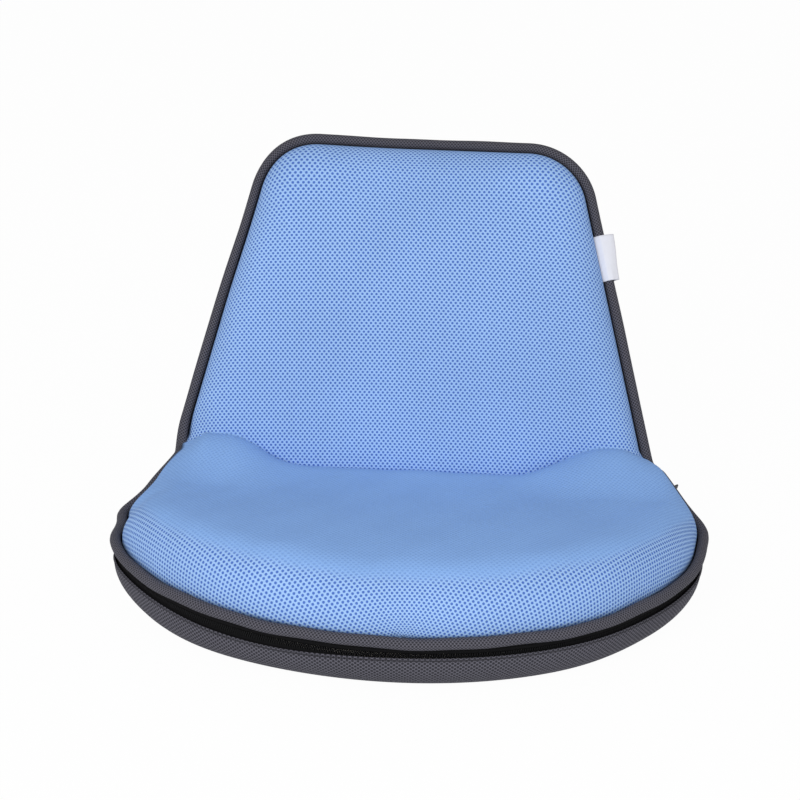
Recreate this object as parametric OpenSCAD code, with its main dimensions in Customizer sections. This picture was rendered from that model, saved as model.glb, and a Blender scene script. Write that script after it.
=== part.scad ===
// Folding floor chair: a padded seat and a padded back on two ratchet hinges.
// Millimetres. X is across the chair, the sitter faces -Y and Z is up.
// The origin is on the floor, in the middle of the seat's resting face.

/* [Seat] */
// Half width of the seat at its widest, to the middle of the piping
seat_half_w = 267; // [255:1:280]
// Widest place forward to the front of the piping
seat_front_len = 237; // [220:1:255]
// Widest place back to the hinge line
seat_rear_len = 90; // [84:1:100]
// Half length of the oval that the rear sides follow
seat_rear_curve = 185; // [178:1:195]
// Turn of that oval where the straight run to the hinge corner starts, degrees
corner_turn = 20; // [16:1:22]
// Height of the piping at the front and sides
pipe_z = 46; // [44:1:52]
// Height of the piping at the hinge corners
pipe_corner_z = 72; // [68:1:75]
// Height of the crest behind the rolled front
crest_z = 100; // [92:1:106]
// Hinge line forward to the crest
crest_len = 255; // [235:1:270]
// How far the seat dips between hinge and crest
dish = 3; // [0:0.5:5]
// Width of the rolled edge at the front
seat_roll_w = 58; // [45:1:70]
// Width of the rolled edge at the sides
seat_side_roll_w = 34; // [28:1:45]
// How far the side band curves in under the seat
band_tuck = 26; // [20:1:32]

/* [Back] */
// Piping at the seat's widest place in to the back's piping at the hinge line
back_in = 39; // [37:0.5:41]
// Hinge line to the top of the piping
back_len = 315; // [290:1:330]
// Lean of the sides, degrees
back_taper = 13.5; // [12:0.5:15]
// Radius of the top corners
back_corner_r = 64; // [50:1:80]
// Depth of the piping behind the hinge plane
back_pipe_depth = 24; // [22:0.5:26]
// Crown of the back in front of the hinge plane
back_crown = 3; // [0:0.5:4]
// Width of the rolled edge
back_roll_w = 34; // [26:1:42]
// Depth of the rear panel behind the hinge plane
back_depth = 40; // [39:0.5:44]

/* [Hinge] */
// Rest angle of the back over the floor, degrees
recline = 62; // [50:1:80]
// Hinge line behind the middle of the resting face
hinge_y = 165; // [150:1:180]
// Height of the hinge line
hinge_z = 78; // [76:0.5:82]
// Radius of the fold in the middle of the crease
fold_r = 6; // [4:0.5:9]
// Radius of the two bulges at the seat's rear corners
bulge_r = 28; // [26:0.5:30]
// Piping at the seat's widest place in to the outer end of a bulge
bulge_in = 35; // [31:0.5:37]
// Length of a bulge along the hinge line
bulge_w = 122; // [107:1:137]
// Thickness of the hinge plates
plate_t = 2.5; // [2:0.1:3]
// Radius of the hinge pin
pin_r = 4; // [3:0.1:5]
// Radius of the notched disc
disc_r = 18; // [16:0.5:20]
// Angle between two clicks, degrees
click_step = 28; // [20:1:30]
// Number of click notches
clicks = 5; // [3:1:5]

/* [Frame] */
// Outer radius of the steel tubes
tube_r = 8; // [7:0.5:8]
// Wall of the steel tubes
tube_wall = 1.2; // [0.8:0.1:2]
// Piping at the seat's widest place in to the seat tube's legs
seat_leg_in = 89; // [85:1:95]
// Radius of the bends in the seat tube
seat_bend_r = 80; // [60:1:90]
// Piping at the front back to the seat tube's front run
seat_tube_in = 59; // [52:1:77]
// Piping at the top of the back down to the top of the back tube's arch
back_tube_in = 41.5; // [33.5:0.5:43.5]
// Width of a support strap
strap_w = 20; // [16:1:22]

/* [Covers and trim] */
// Outer radius of the piping
pipe_r = 5.5; // [4.5:0.1:6]
// Thickness of the blue spacer mesh
cover_t = 2.5; // [1.5:0.1:3]
// Thickness of the grey mesh
band_t = 2; // [1.2:0.1:2.5]
// Width of the zipper, both tapes and the teeth
zip_w = 13; // [12:0.5:14]
// Height of a row of coil teeth
teeth_h = 2.2; // [1.8:0.1:2.6]
// Length of the label along the piping
tag_len = 45; // [35:1:55]
// How far the label stands out past the piping
tag_out = 10; // [6:1:14]

/* [Hidden] */

blue = [0.42, 0.62, 0.9];
grey = [0.36, 0.36, 0.38];
black = [0.06, 0.06, 0.07];
steel = [0.72, 0.73, 0.75];
foam_white = [0.93, 0.91, 0.84];
white = [0.95, 0.95, 0.95];
$fn = 48;

// Clearances
soft_gap = 0.3;
fit_gap = 0.05;
play = 0.1;
overrun = 1;

// The seat's edge path, as stations of [place, outward normal, tangent]
front_steps = 14;
rear_steps = 2;
corner_steps = 2;
widest_y = hinge_y - seat_rear_len;
rear_start = seat_rear_curve * sin(corner_turn);
rear_run = seat_rear_len - rear_start;
rear_slope = seat_half_w * sin(corner_turn) / (seat_rear_curve * cos(corner_turn));
rear_start_x = seat_half_w * cos(corner_turn);

// What follows the seat's width
back_half_w = seat_half_w - back_in;
bulge_out_x = seat_half_w - bulge_in;
bulge_in_x = bulge_out_x - bulge_w;
seat_leg_x = seat_half_w - seat_leg_in;

function unit(v) = v / norm(v);
function flat_list(rows) = [for (row = rows) each row];
function mirror_x(p) = [-p.x, p.y, p.z];
function reversed(list) = [for (k = [len(list) - 1:-1:0]) list[k]];

// Share of the rise from pipe_z to pipe_corner_z, at a share q of the rear length
start_share = rear_start / seat_rear_len;
rise_k_share = 1 / (start_share * start_share + 2 * start_share * (1 - start_share));
function rise_share(q) =
    q <= 0 ? 0 :
    q <= start_share ? rise_k_share * q * q :
    rise_k_share * (start_share * start_share + 2 * start_share * (q - start_share));
function edge_z(y) = pipe_z + (pipe_corner_z - pipe_z) * rise_share((y - widest_y) / seat_rear_len);
function at_edge(x, y) = [x, y, edge_z(y)];

seat_right = concat(
    [for (k = [0:corner_steps - 1]) let (run = rear_run * (1 - k / corner_steps))
        at_edge(rear_start_x - run * rear_slope, widest_y + rear_start + run)],
    [for (k = [0:rear_steps - 1]) let (a = corner_turn * (1 - k / rear_steps))
        at_edge(seat_half_w * cos(a), widest_y + seat_rear_curve * sin(a))],
    [for (k = [0:front_steps - 1]) let (a = 90 * sin(90 * k / front_steps))
        at_edge(seat_half_w * cos(a), widest_y - seat_front_len * sin(a))]
);
seat_tip = at_edge(0, widest_y - seat_front_len);
seat_points = concat(seat_right, [seat_tip],
    [for (k = [len(seat_right) - 1:-1:0]) mirror_x(seat_right[k])]);

// The back's edge path in its own plane: x across, y up the back, z out of its face
side_steps = 5;
top_steps = 5;
back_corner_y = back_len - back_corner_r;
back_corner_x = back_half_w - back_corner_y * tan(back_taper) - back_corner_r / cos(back_taper);
side_top_y = back_corner_y + back_corner_r * sin(back_taper);
pipe_start = 10;
function side_x(y) = back_half_w - y * tan(back_taper);
back_right = concat(
    [for (k = [0:side_steps - 1]) let (y = pipe_start + (side_top_y - pipe_start) * k / side_steps)
        [side_x(y), y, -back_pipe_depth]],
    [for (k = [0:top_steps]) let (a = back_taper + (90 - back_taper) * k / top_steps)
        [back_corner_x + back_corner_r * cos(a), back_corner_y + back_corner_r * sin(a), -back_pipe_depth]]
);
back_points = concat(back_right, [[0, back_len, -back_pipe_depth]],
    [for (k = [len(back_right) - 1:-1:0]) mirror_x(back_right[k])]);

// Stations along a path that runs with its outside on the left of (0, -1) and on the right of (0, 1)
function stations(points, side) = [for (k = [0:len(points) - 1])
    let (before = points[max(k - 1, 0)], after = points[min(k + 1, len(points) - 1)],
        along = unit(after - before), flat = unit([along.x, along.y, 0]))
    [points[k], side * [-flat.y, flat.x, 0], along]];
seat_stations = stations(seat_points, 1);
back_stations = stations(back_points, -1);

// A solid through sections that each have the same number of points
module loft(sections) {
    n = len(sections);
    m = len(sections[0]);
    pairs = m / 2 - 1;
    polyhedron(
        points = flat_list(sections),
        faces = concat(
            [for (i = [0:n - 2], j = [0:m - 1]) let (a = i * m + j, b = i * m + (j + 1) % m) [a, b, b + m]],
            [for (i = [0:n - 2], j = [0:m - 1]) let (a = i * m + j, b = i * m + (j + 1) % m) [a, b + m, a + m]],
            [for (j = [0:pairs - 1]) [j, m - 1 - j, j + 1]],
            [for (j = [0:pairs - 1]) [j + 1, m - 1 - j, m - 2 - j]],
            [for (j = [0:pairs - 1]) let (o = (n - 1) * m) [o + j, o + j + 1, o + m - 1 - j]],
            [for (j = [0:pairs - 1]) let (o = (n - 1) * m) [o + j + 1, o + m - 2 - j, o + m - 1 - j]]
        )
    );
}

// A solid between an upper and a lower grid of points; rows run towards -Y and columns towards +X
module grid_solid(upper, lower) {
    rows = len(upper) - 1;
    cols = len(upper[0]) - 1;
    w = cols + 1;
    low = (rows + 1) * w;
    polyhedron(
        points = concat(flat_list(upper), flat_list(lower)),
        faces = concat(
            [for (r = [0:rows - 1], c = [0:cols - 1]) let (a = r * w + c) [a, a + w + 1, a + w]],
            [for (r = [0:rows - 1], c = [0:cols - 1]) let (a = r * w + c) [a, a + 1, a + w + 1]],
            [for (r = [0:rows - 1], c = [0:cols - 1]) let (a = low + r * w + c) [a, a + w, a + w + 1]],
            [for (r = [0:rows - 1], c = [0:cols - 1]) let (a = low + r * w + c) [a, a + w + 1, a + 1]],
            [for (c = [0:cols - 1]) [c, low + c, low + c + 1]],
            [for (c = [0:cols - 1]) [c, low + c + 1, c + 1]],
            [for (c = [0:cols - 1]) let (a = rows * w + c) [a, a + 1, low + a + 1]],
            [for (c = [0:cols - 1]) let (a = rows * w + c) [a, low + a + 1, low + a]],
            [for (r = [0:rows - 1]) let (a = r * w) [a, a + w, low + a + w]],
            [for (r = [0:rows - 1]) let (a = r * w) [a, low + a + w, low + a]],
            [for (r = [0:rows - 1]) let (a = r * w + cols) [a, low + a, low + a + w]],
            [for (r = [0:rows - 1]) let (a = r * w + cols) [a, low + a + w, a + w]]
        )
    );
}

// Radius of the crease roll along X
bulge_power_share = 0.6;
function roll_r(x) =
    let (q = (abs(x) - bulge_in_x) / bulge_w)
    q <= 0 || q >= 1 ? fold_r : fold_r + (bulge_r - fold_r) * pow(sin(180 * q), bulge_power_share);

// Distance of a place from an open outline
function seg_dist(p, a, b) =
    let (ab = b - a, t = max(0, min(1, (p - a) * ab / (ab * ab))))
    norm(p - a - t * ab);
function outline_dist(p, line) = min([for (k = [0:len(line) - 2]) seg_dist(p, line[k], line[k + 1])]);
function quarter_share(q) = q <= 0 ? 0 : q >= 1 ? 1 : sqrt(1 - (1 - q) * (1 - q));
function flat2(v) = [v.x, v.y];

// The grid of columns on every pad, closer together towards the sides
half_column_shares = [0.2, 0.4, 0.49, 0.56, 0.64, 0.74, 0.84, 0.91, 0.965, 1];
column_shares = concat(
    [for (k = [len(half_column_shares) - 1:-1:0]) -half_column_shares[k]],
    [0],
    half_column_shares
);
function lowered(grid, drop) = [for (row = grid) [for (p = row) [p.x, p.y, p.z - drop]]];
pad_inset = pipe_r + soft_gap;

// Seat pad: crown height, and the place of a grid point at an inset from the piping's path
seat_line = [for (s = seat_stations) flat2(s[0] - pad_inset * s[1])];
seat_rows = len(seat_right) - 2;
function crown_z(y) =
    let (q = max(0, min(1, (hinge_y - y) / crest_len)))
    hinge_z + (crest_z - hinge_z) * (1 - cos(180 * q)) / 2 - dish * sin(180 * q);
function roll_w_at(y) =
    seat_side_roll_w + (seat_roll_w - seat_side_roll_w) * max(0, widest_y - y) / seat_front_len;
function seat_xy(k, u, inset) =
    let (s = seat_stations[k], p = s[0] - inset * s[1], x = u * p.x,
        y = p.y <= widest_y ? p.y :
            widest_y + (p.y - widest_y) * (seat_rear_len - roll_r(x) - soft_gap) / seat_rear_len)
    [x, y];
function seat_top_z(p, depth) =
    let (d = outline_dist(p, seat_line) - depth, z = edge_z(p.y))
    z + (crown_z(p.y) - z) * quarter_share(d / roll_w_at(p.y)) - depth;
function seat_grid(inset, depth) = [for (k = [0:seat_rows]) [for (u = column_shares)
    let (p = seat_xy(k, u, inset)) [p.x, p.y, seat_top_z(p, depth)]]];
function seat_floor(inset, z) = [for (k = [0:seat_rows]) [for (u = column_shares)
    let (p = seat_xy(k, u, inset)) [p.x, p.y, z]]];

// Layers of the seat from the floor up
panel_t = band_t;
tube_lift = 2;
seat_tube_z = panel_t + tube_r + tube_lift;
strap_t = 1.2;
foam_gap = 0.5;
seat_foam_z = seat_tube_z + tube_r + strap_t + foam_gap;
foam_foot_inset = 14;

module seat_top_cover() {
    color(blue)
    grid_solid(seat_grid(pad_inset, 0), seat_grid(pad_inset + cover_t, cover_t));
}

module seat_foam() {
    color(foam_white)
    grid_solid(lowered(seat_grid(pad_inset + cover_t, cover_t), soft_gap),
        seat_floor(pad_inset + foam_foot_inset, seat_foam_z));
}

// Piping: a tube of pipe_sides sides along a path
pipe_sides = 8;
function pipe_ring(s, r) =
    let (across = cross(s[1], s[2]))
    [for (j = [0:pipe_sides - 1]) let (a = 360 * (j + 0.5) / pipe_sides)
        s[0] + r * cos(a) * s[1] + r * sin(a) * across];

module seat_piping() {
    color(grey)
    loft([for (s = seat_stations) pipe_ring(s, pipe_r)]);
}

// A flat ribbon that hangs below the seat's path
up = [0, 0, 1];
function ribbon(s, n_in, n_out, drop_top, drop_low) = [
    s[0] + n_out * s[1] - drop_top * up,
    s[0] + n_out * s[1] - drop_low * up,
    s[0] + n_in * s[1] - drop_low * up,
    s[0] + n_in * s[1] - drop_top * up
];

// Zipper: two tapes with a row of teeth on each, and a thin slit between the rows
tape_t = 1.2;
tape_n = -2.6;
teeth_t = 2.2;
teeth_n = -3.1;
slit = 1.2;
zip_top = pipe_r + soft_gap;
zip_mid = zip_top + zip_w / 2;
teeth_top = zip_mid - slit / 2 - teeth_h;
teeth_low = zip_mid + slit / 2 + teeth_h;
zip_low = zip_top + zip_w;

module seat_ribbon(n_in, t, drop_top, drop_low) {
    loft([for (s = seat_stations) ribbon(s, n_in, n_in + t, drop_top, drop_low)]);
}

module zipper_tape_upper() {
    color(black)
    seat_ribbon(tape_n, tape_t, zip_top, teeth_top - fit_gap);
}

module zipper_tape_lower() {
    color(black)
    seat_ribbon(tape_n, tape_t, teeth_low + fit_gap, zip_low);
}

module zipper_teeth_upper() {
    color(black)
    seat_ribbon(teeth_n, teeth_t, teeth_top, teeth_top + teeth_h);
}

module zipper_teeth_lower() {
    color(black)
    seat_ribbon(teeth_n, teeth_t, teeth_low - teeth_h, teeth_low);
}

// Side band: from under the zipper down and in to the bottom panel
band_steps = 4;
function band_section(s) =
    let (top = s[0].z - zip_low - soft_gap)
    concat(
        [for (k = [0:band_steps]) let (a = 90 * k / band_steps)
            [s[0].x, s[0].y, 0] - band_tuck * (1 - cos(a)) * s[1] + top * (1 - sin(a)) * up],
        [for (k = [band_steps:-1:0]) let (a = 90 * k / band_steps)
            [s[0].x, s[0].y, 0] - (band_tuck - (band_tuck - band_t) * cos(a)) * s[1]
            + (top - (top - band_t) * sin(a)) * up]
    );

module seat_side_band() {
    color(grey)
    loft([for (s = seat_stations) band_section(s)]);
}

module seat_bottom_panel() {
    color(grey)
    linear_extrude(panel_t)
    polygon([for (s = seat_stations) flat2(s[0] - (band_tuck + soft_gap) * s[1])]);
}

// Puts what is drawn in the back's own plane where the back stands at rest
module on_back() {
    translate([0, hinge_y, hinge_z])
    rotate([recline, 0, 0])
    children();
}

// Back pad, from the top row down to the crease
back_line = [for (s = back_stations) flat2(s[0] - pad_inset * s[1])];
back_rows = len(back_right);
swing_gap = 1.6;
function back_side(k, inset) =
    k == back_rows ? [side_x(0) - inset / cos(back_taper), 0] :
        let (s = back_stations[back_rows - 1 - k]) s[0] - inset * s[1];
// Each column of the back pad is shortened at its foot to stay clear of the crease roll
function back_xy(k, u, inset) =
    let (p = back_side(k, inset), left_share = (back_len - p.y) / back_len,
        foot_x = u * (p.x - left_share * roll_r(u * p.x) * tan(back_taper)),
        rise = left_share * (roll_r(foot_x) + swing_gap))
    [u * (p.x - rise * tan(back_taper)), p.y + rise];
function back_top_z(p, depth, edge_in) =
    let (d = outline_dist(p, back_line) - depth - edge_in,
        crown = back_crown * sin(180 * min(1, p.y / back_len)))
    -back_pipe_depth + (crown + back_pipe_depth) * quarter_share(d / back_roll_w) - depth;
function back_grid(inset, depth, edge_in = 0) = [for (k = [0:back_rows]) [for (u = column_shares)
    let (p = back_xy(k, u, inset)) [p.x, p.y, back_top_z(p, depth, edge_in)]]];
function back_floor(inset, z) = [for (k = [0:back_rows]) [for (u = column_shares)
    let (p = back_xy(k, u, inset)) [p.x, p.y, z]]];

// Layers of the back, from the rear panel forward
arch_loop_r = tube_r + 2 * soft_gap;
back_tube_z = arch_loop_r + strap_t + soft_gap + band_t - back_depth;
back_foam_z = back_tube_z + arch_loop_r + strap_t + foam_gap;
back_foam_inset = 8;
foam_edge_in = 2;

module back_front_cover() {
    color(blue)
    on_back()
    grid_solid(back_grid(pad_inset, 0), back_grid(pad_inset + cover_t, cover_t));
}

module back_foam() {
    color(foam_white)
    on_back()
    grid_solid(lowered(back_grid(pad_inset + back_foam_inset, cover_t, foam_edge_in), soft_gap),
        back_floor(pad_inset + back_foam_inset, back_foam_z));
}

module back_piping() {
    color(grey)
    on_back()
    loft([for (s = back_stations) pipe_ring(s, pipe_r)]);
}

// Back side band: from behind the piping in to the rear panel
back_band_tuck = 14;
back_band_top = pipe_r + soft_gap;
function back_band_section(s) =
    let (drop = back_depth - back_pipe_depth - back_band_top)
    concat(
        [for (k = [0:band_steps]) let (a = 90 * k / band_steps)
            s[0] - back_band_tuck * (1 - cos(a)) * s[1] - (back_band_top + drop * sin(a)) * up],
        [for (k = [band_steps:-1:0]) let (a = 90 * k / band_steps)
            s[0] - (back_band_tuck - (back_band_tuck - band_t) * cos(a)) * s[1]
            - (back_band_top + (drop - band_t) * sin(a)) * up]
    );
// The lower end of the rear panel and side band, clear of the roll and the seat as the back turns
rear_foot_y = 34;
back_band_stations = [for (s = back_stations) s[0].y > rear_foot_y ? s : [
    [sign(s[0].x) * side_x(rear_foot_y), rear_foot_y, s[0].z], s[1], s[2]]];

module back_side_band() {
    color(grey)
    on_back()
    loft([for (s = back_band_stations) reversed(back_band_section(s))]);
}

module back_rear_panel() {
    color(grey)
    on_back()
    translate([0, 0, -back_depth])
    linear_extrude(band_t)
    polygon([for (s = back_band_stations) flat2(s[0] - (back_band_tuck + soft_gap) * s[1])]);
}

// Frame tubes
module tube_run(length, r = tube_r, wall = tube_wall) {
    difference() {
        cylinder(h = length, r = r);
        translate([0, 0, -overrun])
        cylinder(h = length + 2 * overrun, r = r - wall);
    }
}

module tube_bend(bend_r, turn, r = tube_r, wall = tube_wall) {
    rotate_extrude(angle = turn)
    translate([bend_r, 0])
    difference() {
        circle(r = r);
        circle(r = r - wall);
    }
}

seat_leg_end = 30;
seat_tube_front_y = widest_y - seat_front_len + seat_tube_in;
seat_bend_y = seat_tube_front_y + seat_bend_r;

module seat_leg_half(side) {
    translate([side * seat_leg_x, seat_bend_y, seat_tube_z])
    rotate([-90, 0, 0])
    tube_run(hinge_y - seat_leg_end - seat_bend_y);
}

module rivet_holes(places, x, r) {
    for (p = places)
        translate([x, p[0], p[1]])
        rotate([0, 90, 0])
        cylinder(h = 2 * (tube_r + plate_t + overrun), r = r, center = true);
}

rivet_r = 2.5;
rivet_hole_r = rivet_r + fit_gap;
foot_len = 46;
rivet_shares = [0.25, 0.75];
seat_rivets = [for (q = rivet_shares) [hinge_y - seat_leg_end - foot_len * q, seat_tube_z]];

module seat_frame_tube() {
    bend_x = seat_leg_x - seat_bend_r;
    color(steel)
    difference() {
        union() {
            for (side = [-1, 1]) {
                seat_leg_half(side);
                translate([side * bend_x, seat_bend_y, seat_tube_z])
                rotate([0, 0, side > 0 ? -90 : 180])
                tube_bend(seat_bend_r, 90);
            }
            translate([-bend_x, seat_tube_front_y, seat_tube_z])
            rotate([0, 90, 0])
            tube_run(2 * bend_x);
        }
        for (side = [-1, 1])
            rivet_holes(seat_rivets, side * seat_leg_x, rivet_hole_r);
    }
}

// A straight tube between two legs, its ends cut to fit them
cross_tube_r = 7;
seat_cross_len = 100;

module cross_tube(half_x) {
    difference() {
        translate([-half_x, 0, 0])
        rotate([0, 90, 0])
        tube_run(2 * half_x, cross_tube_r);
        for (side = [-1, 1])
            translate([side * half_x, 0, 0])
            rotate([90, 0, 0])
            cylinder(h = 4 * tube_r, r = tube_r + fit_gap, center = true);
    }
}

module seat_cross_tube() {
    color(steel)
    translate([0, hinge_y - seat_cross_len, seat_tube_z])
    cross_tube(seat_leg_x);
}

// A strap over two legs, looped round each of them
loop_r = tube_r + fit_gap;

module strap(half_x) {
    rotate([90, 0, 0])
    linear_extrude(strap_w, center = true)
    union() {
        translate([-half_x, loop_r])
        square([2 * half_x, strap_t]);
        for (side = [-1, 1])
            translate([side * half_x, 0])
            difference() {
                circle(r = loop_r + strap_t);
                circle(r = loop_r);
            }
    }
}

seat_strap_shares = [0.25, 0.72];

module seat_support_straps() {
    run = hinge_y - seat_cross_len - cross_tube_r - seat_bend_y;
    color(black)
    for (q = seat_strap_shares)
        translate([0, seat_bend_y + q * run, seat_tube_z])
        strap(seat_leg_x);
}

// Hinge: from the seat tube outwards a seat plate, a washer, the back plate, a washer and the pin's head
washer_t = 0.8;
head_t = 2;
head_r = 7;
washer_r = 9;
seat_plate_x = seat_leg_x + tube_r;
washer_x = seat_plate_x + plate_t + play;
back_plate_x = washer_x + washer_t + play;
outer_washer_x = back_plate_x + plate_t + play;
outer_head_x = outer_washer_x + washer_t + play;
slot_in_x = seat_plate_x - head_t - 2 * soft_gap;
slot_out_x = outer_head_x + head_t + 2 * soft_gap;
pin_hole_r = pin_r + fit_gap;

// Lays a flat outline drawn in Y and Z across X
module across_x(x, t) {
    translate([x, 0, 0])
    rotate([90, 0, 90])
    linear_extrude(t)
    children();
}

module both_sides() {
    children();
    mirror([1, 0, 0])
    children();
}

// Seat plate: a round eye over the seat tube, a neck and a foot along the tube
eye_r = 15;
neck_back = 5;
neck_front = 22;
foot_rear = 12;
foot_h = 2 * tube_r;

module seat_plate() {
    difference() {
        across_x(seat_plate_x, plate_t)
        difference() {
            union() {
                translate([hinge_y, hinge_z])
                circle(r = eye_r);
                polygon([
                    [hinge_y - eye_r, hinge_z],
                    [hinge_y - neck_front, seat_tube_z + foot_h],
                    [hinge_y - neck_front, seat_tube_z - tube_r],
                    [hinge_y - foot_rear, seat_tube_z - tube_r],
                    [hinge_y - neck_back, seat_tube_z + foot_h],
                    [hinge_y + eye_r - neck_back, hinge_z]
                ]);
                translate([hinge_y - seat_leg_end - foot_len, seat_tube_z - tube_r])
                square([seat_leg_end + foot_len - foot_rear, foot_h]);
            }
            translate([hinge_y, hinge_z])
            circle(r = pin_hole_r);
        }
        rivet_holes(seat_rivets, seat_plate_x, rivet_hole_r);
    }
}

module hinge_seat_plate_right() {
    color(steel)
    seat_plate();
}

module hinge_seat_plate_left() {
    color(steel)
    mirror([1, 0, 0])
    seat_plate();
}

// Back plate: a disc with click notches, an arm and a foot along the back tube
notch_r = 2.2;
notch_angle = 180 - recline;
back_foot_start = 32;
back_foot_len = 52;
back_rivets = [for (q = rivet_shares) [back_foot_start + back_foot_len * q, back_tube_z]];
arm_up_turn = -50;
arm_low_turn = -110;

module back_plate() {
    difference() {
        union() {
            across_x(back_plate_x, plate_t)
            circle(r = disc_r);
            across_x(back_plate_x, plate_t)
            polygon([
                [0, 0],
                eye_r * [cos(arm_up_turn), sin(arm_up_turn)],
                [back_foot_start, back_tube_z + tube_r],
                [back_foot_start + back_foot_len, back_tube_z + tube_r],
                [back_foot_start + back_foot_len, back_tube_z - tube_r],
                [back_foot_start, back_tube_z - tube_r],
                eye_r * [cos(arm_low_turn), sin(arm_low_turn)]
            ]);
        }
        across_x(back_plate_x - overrun, plate_t + 2 * overrun)
        union() {
            circle(r = pin_hole_r);
            for (k = [0:clicks - 1])
                rotate(notch_angle + (k - floor(clicks / 2)) * click_step)
                translate([disc_r, 0])
                circle(r = notch_r);
        }
        rivet_holes(back_rivets, back_plate_x, rivet_hole_r);
    }
}

module hinge_back_plate_right() {
    color(steel)
    on_back()
    back_plate();
}

module hinge_back_plate_left() {
    color(steel)
    on_back()
    mirror([1, 0, 0])
    back_plate();
}

// A headed pin along X, from its inner head's face to its outer head's face
module headed_pin(x_in, x_out, r, big_r, big_t) {
    translate([x_in, 0, 0])
    rotate([0, 90, 0]) {
        cylinder(h = x_out - x_in, r = r);
        translate([0, 0, -big_t])
        cylinder(h = big_t, r = big_r);
        translate([0, 0, x_out - x_in])
        cylinder(h = big_t, r = big_r);
    }
}

module hinge_pin() {
    translate([0, hinge_y, hinge_z])
    headed_pin(seat_plate_x, outer_head_x, pin_r, head_r, head_t);
}

module hinge_pin_right() {
    color(steel)
    hinge_pin();
}

module hinge_pin_left() {
    color(steel)
    mirror([1, 0, 0])
    hinge_pin();
}

module hinge_washers() {
    color(black)
    both_sides()
    for (x = [washer_x, outer_washer_x])
        translate([x, hinge_y, hinge_z])
        rotate([0, 90, 0])
        difference() {
            cylinder(h = washer_t, r = washer_r);
            translate([0, 0, -overrun])
            cylinder(h = washer_t + 2 * overrun, r = pin_hole_r);
        }
}

// Click spring: a leaf on the seat plate whose nose sits in a notch of the disc
nose_r = 1.7;
leaf_t = 1;
leaf_low = 42;
leaf_high = 3;
leaf_foot_h = 6;

module click_spring() {
    leaf_y = hinge_y - disc_r - nose_r - leaf_t / 2;
    leaf_x = back_plate_x + play;
    across_x(leaf_x, plate_t - 2 * play)
    union() {
        translate([leaf_y - leaf_t / 2, hinge_z - leaf_low])
        square([leaf_t, leaf_low + leaf_high]);
        translate([hinge_y - disc_r - nose_r / 2, hinge_z])
        circle(r = nose_r);
    }
    across_x(seat_plate_x + plate_t, back_plate_x - seat_plate_x)
    translate([leaf_y - leaf_t / 2, hinge_z - leaf_low])
    square([2 * leaf_t, leaf_foot_h]);
}

module hinge_click_spring_right() {
    color(steel)
    click_spring();
}

module hinge_click_spring_left() {
    color(steel)
    mirror([1, 0, 0])
    click_spring();
}

rivet_head_r = 4.2;
rivet_head_t = 1.5;

module frame_rivets(places, plate_x) {
    both_sides()
    for (p = places)
        translate([0, p[0], p[1]])
        headed_pin(plate_x - 2 * tube_r, plate_x + plate_t, rivet_r, rivet_head_r, rivet_head_t);
}

module seat_frame_rivets() {
    color(steel)
    frame_rivets(seat_rivets, seat_plate_x);
}

module back_frame_rivets() {
    color(steel)
    on_back()
    frame_rivets(back_rivets, back_plate_x);
}

// Crease roll: turned about the hinge line, with the bulges near its ends
roll_steps = 12;
function roll_profile(x_a, x_b) = concat(
    [[0, x_a]],
    [for (k = [0:roll_steps]) let (x = x_a + (x_b - x_a) * k / roll_steps) [roll_r(x), x]],
    [[0, x_b]]
);

module roll(profile) {
    translate([0, hinge_y, hinge_z])
    rotate([0, 90, 0])
    rotate_extrude()
    polygon(profile);
}

module crease_roll() {
    bulge_half = roll_profile(bulge_in_x, slot_in_x);
    n = len(bulge_half);
    color(blue)
    roll(concat(
        [for (k = [n - 1:-1:1]) [bulge_half[k][0], -bulge_half[k][1]]],
        [for (k = [1:n - 1]) bulge_half[k]]
    ));
}

end_pad_short = 3;
end_pad_x = bulge_out_x - end_pad_short;

module hinge_end_pad_right() {
    color(blue)
    roll(roll_profile(slot_out_x, end_pad_x));
}

module hinge_end_pad_left() {
    color(blue)
    mirror([1, 0, 0])
    hinge_end_pad_right();
}

// Spine gusset: a fabric strip from the bottom panel's rear edge to the rear panel's lower edge
gusset_in = 28;
gusset_half_w = back_half_w - gusset_in;
gusset_steps = 8;
gusset_bow = 34;
gusset_t = band_t;
panel_rear = (band_tuck + soft_gap) * seat_stations[0][1].y;
gusset_foot = [hinge_y - panel_rear + soft_gap, gusset_t / 2];
gusset_bend = [hinge_y + gusset_bow, 4 * gusset_t];
rear_panel_y = rear_foot_y - (back_band_tuck + 2 * soft_gap) * back_stations[0][1].y - soft_gap;
gusset_head = [
    hinge_y + rear_panel_y * cos(recline) + (back_depth - gusset_t / 2) * sin(recline),
    hinge_z + rear_panel_y * sin(recline) - (back_depth - gusset_t / 2) * cos(recline)
];
function gusset_at(t) =
    (1 - t) * (1 - t) * gusset_foot + 2 * t * (1 - t) * gusset_bend + t * t * gusset_head;
function gusset_along(t) = unit((1 - t) * (gusset_bend - gusset_foot) + t * (gusset_head - gusset_bend));
function gusset_side(t, w) = let (a = gusset_along(t)) gusset_at(t) + w * [-a.y, a.x];

module spine_gusset() {
    color(grey)
    across_x(-gusset_half_w, 2 * gusset_half_w)
    polygon(concat(
        [for (k = [0:gusset_steps]) gusset_side(k / gusset_steps, gusset_t / 2)],
        [for (k = [gusset_steps:-1:0]) gusset_side(k / gusset_steps, -gusset_t / 2)]
    ));
}

// Back frame: two straight legs under one round arch, as high as the piping at the top and sides allows
back_leg_x = back_plate_x - tube_r;
back_tube_side_in = 18.7;
back_arch_len = min(
    back_len - back_tube_in - back_leg_x,
    (back_half_w - (back_leg_x + back_tube_side_in) / cos(back_taper)) / tan(back_taper)
);
back_leg_start = 32;
back_cross_y = 84;

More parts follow.
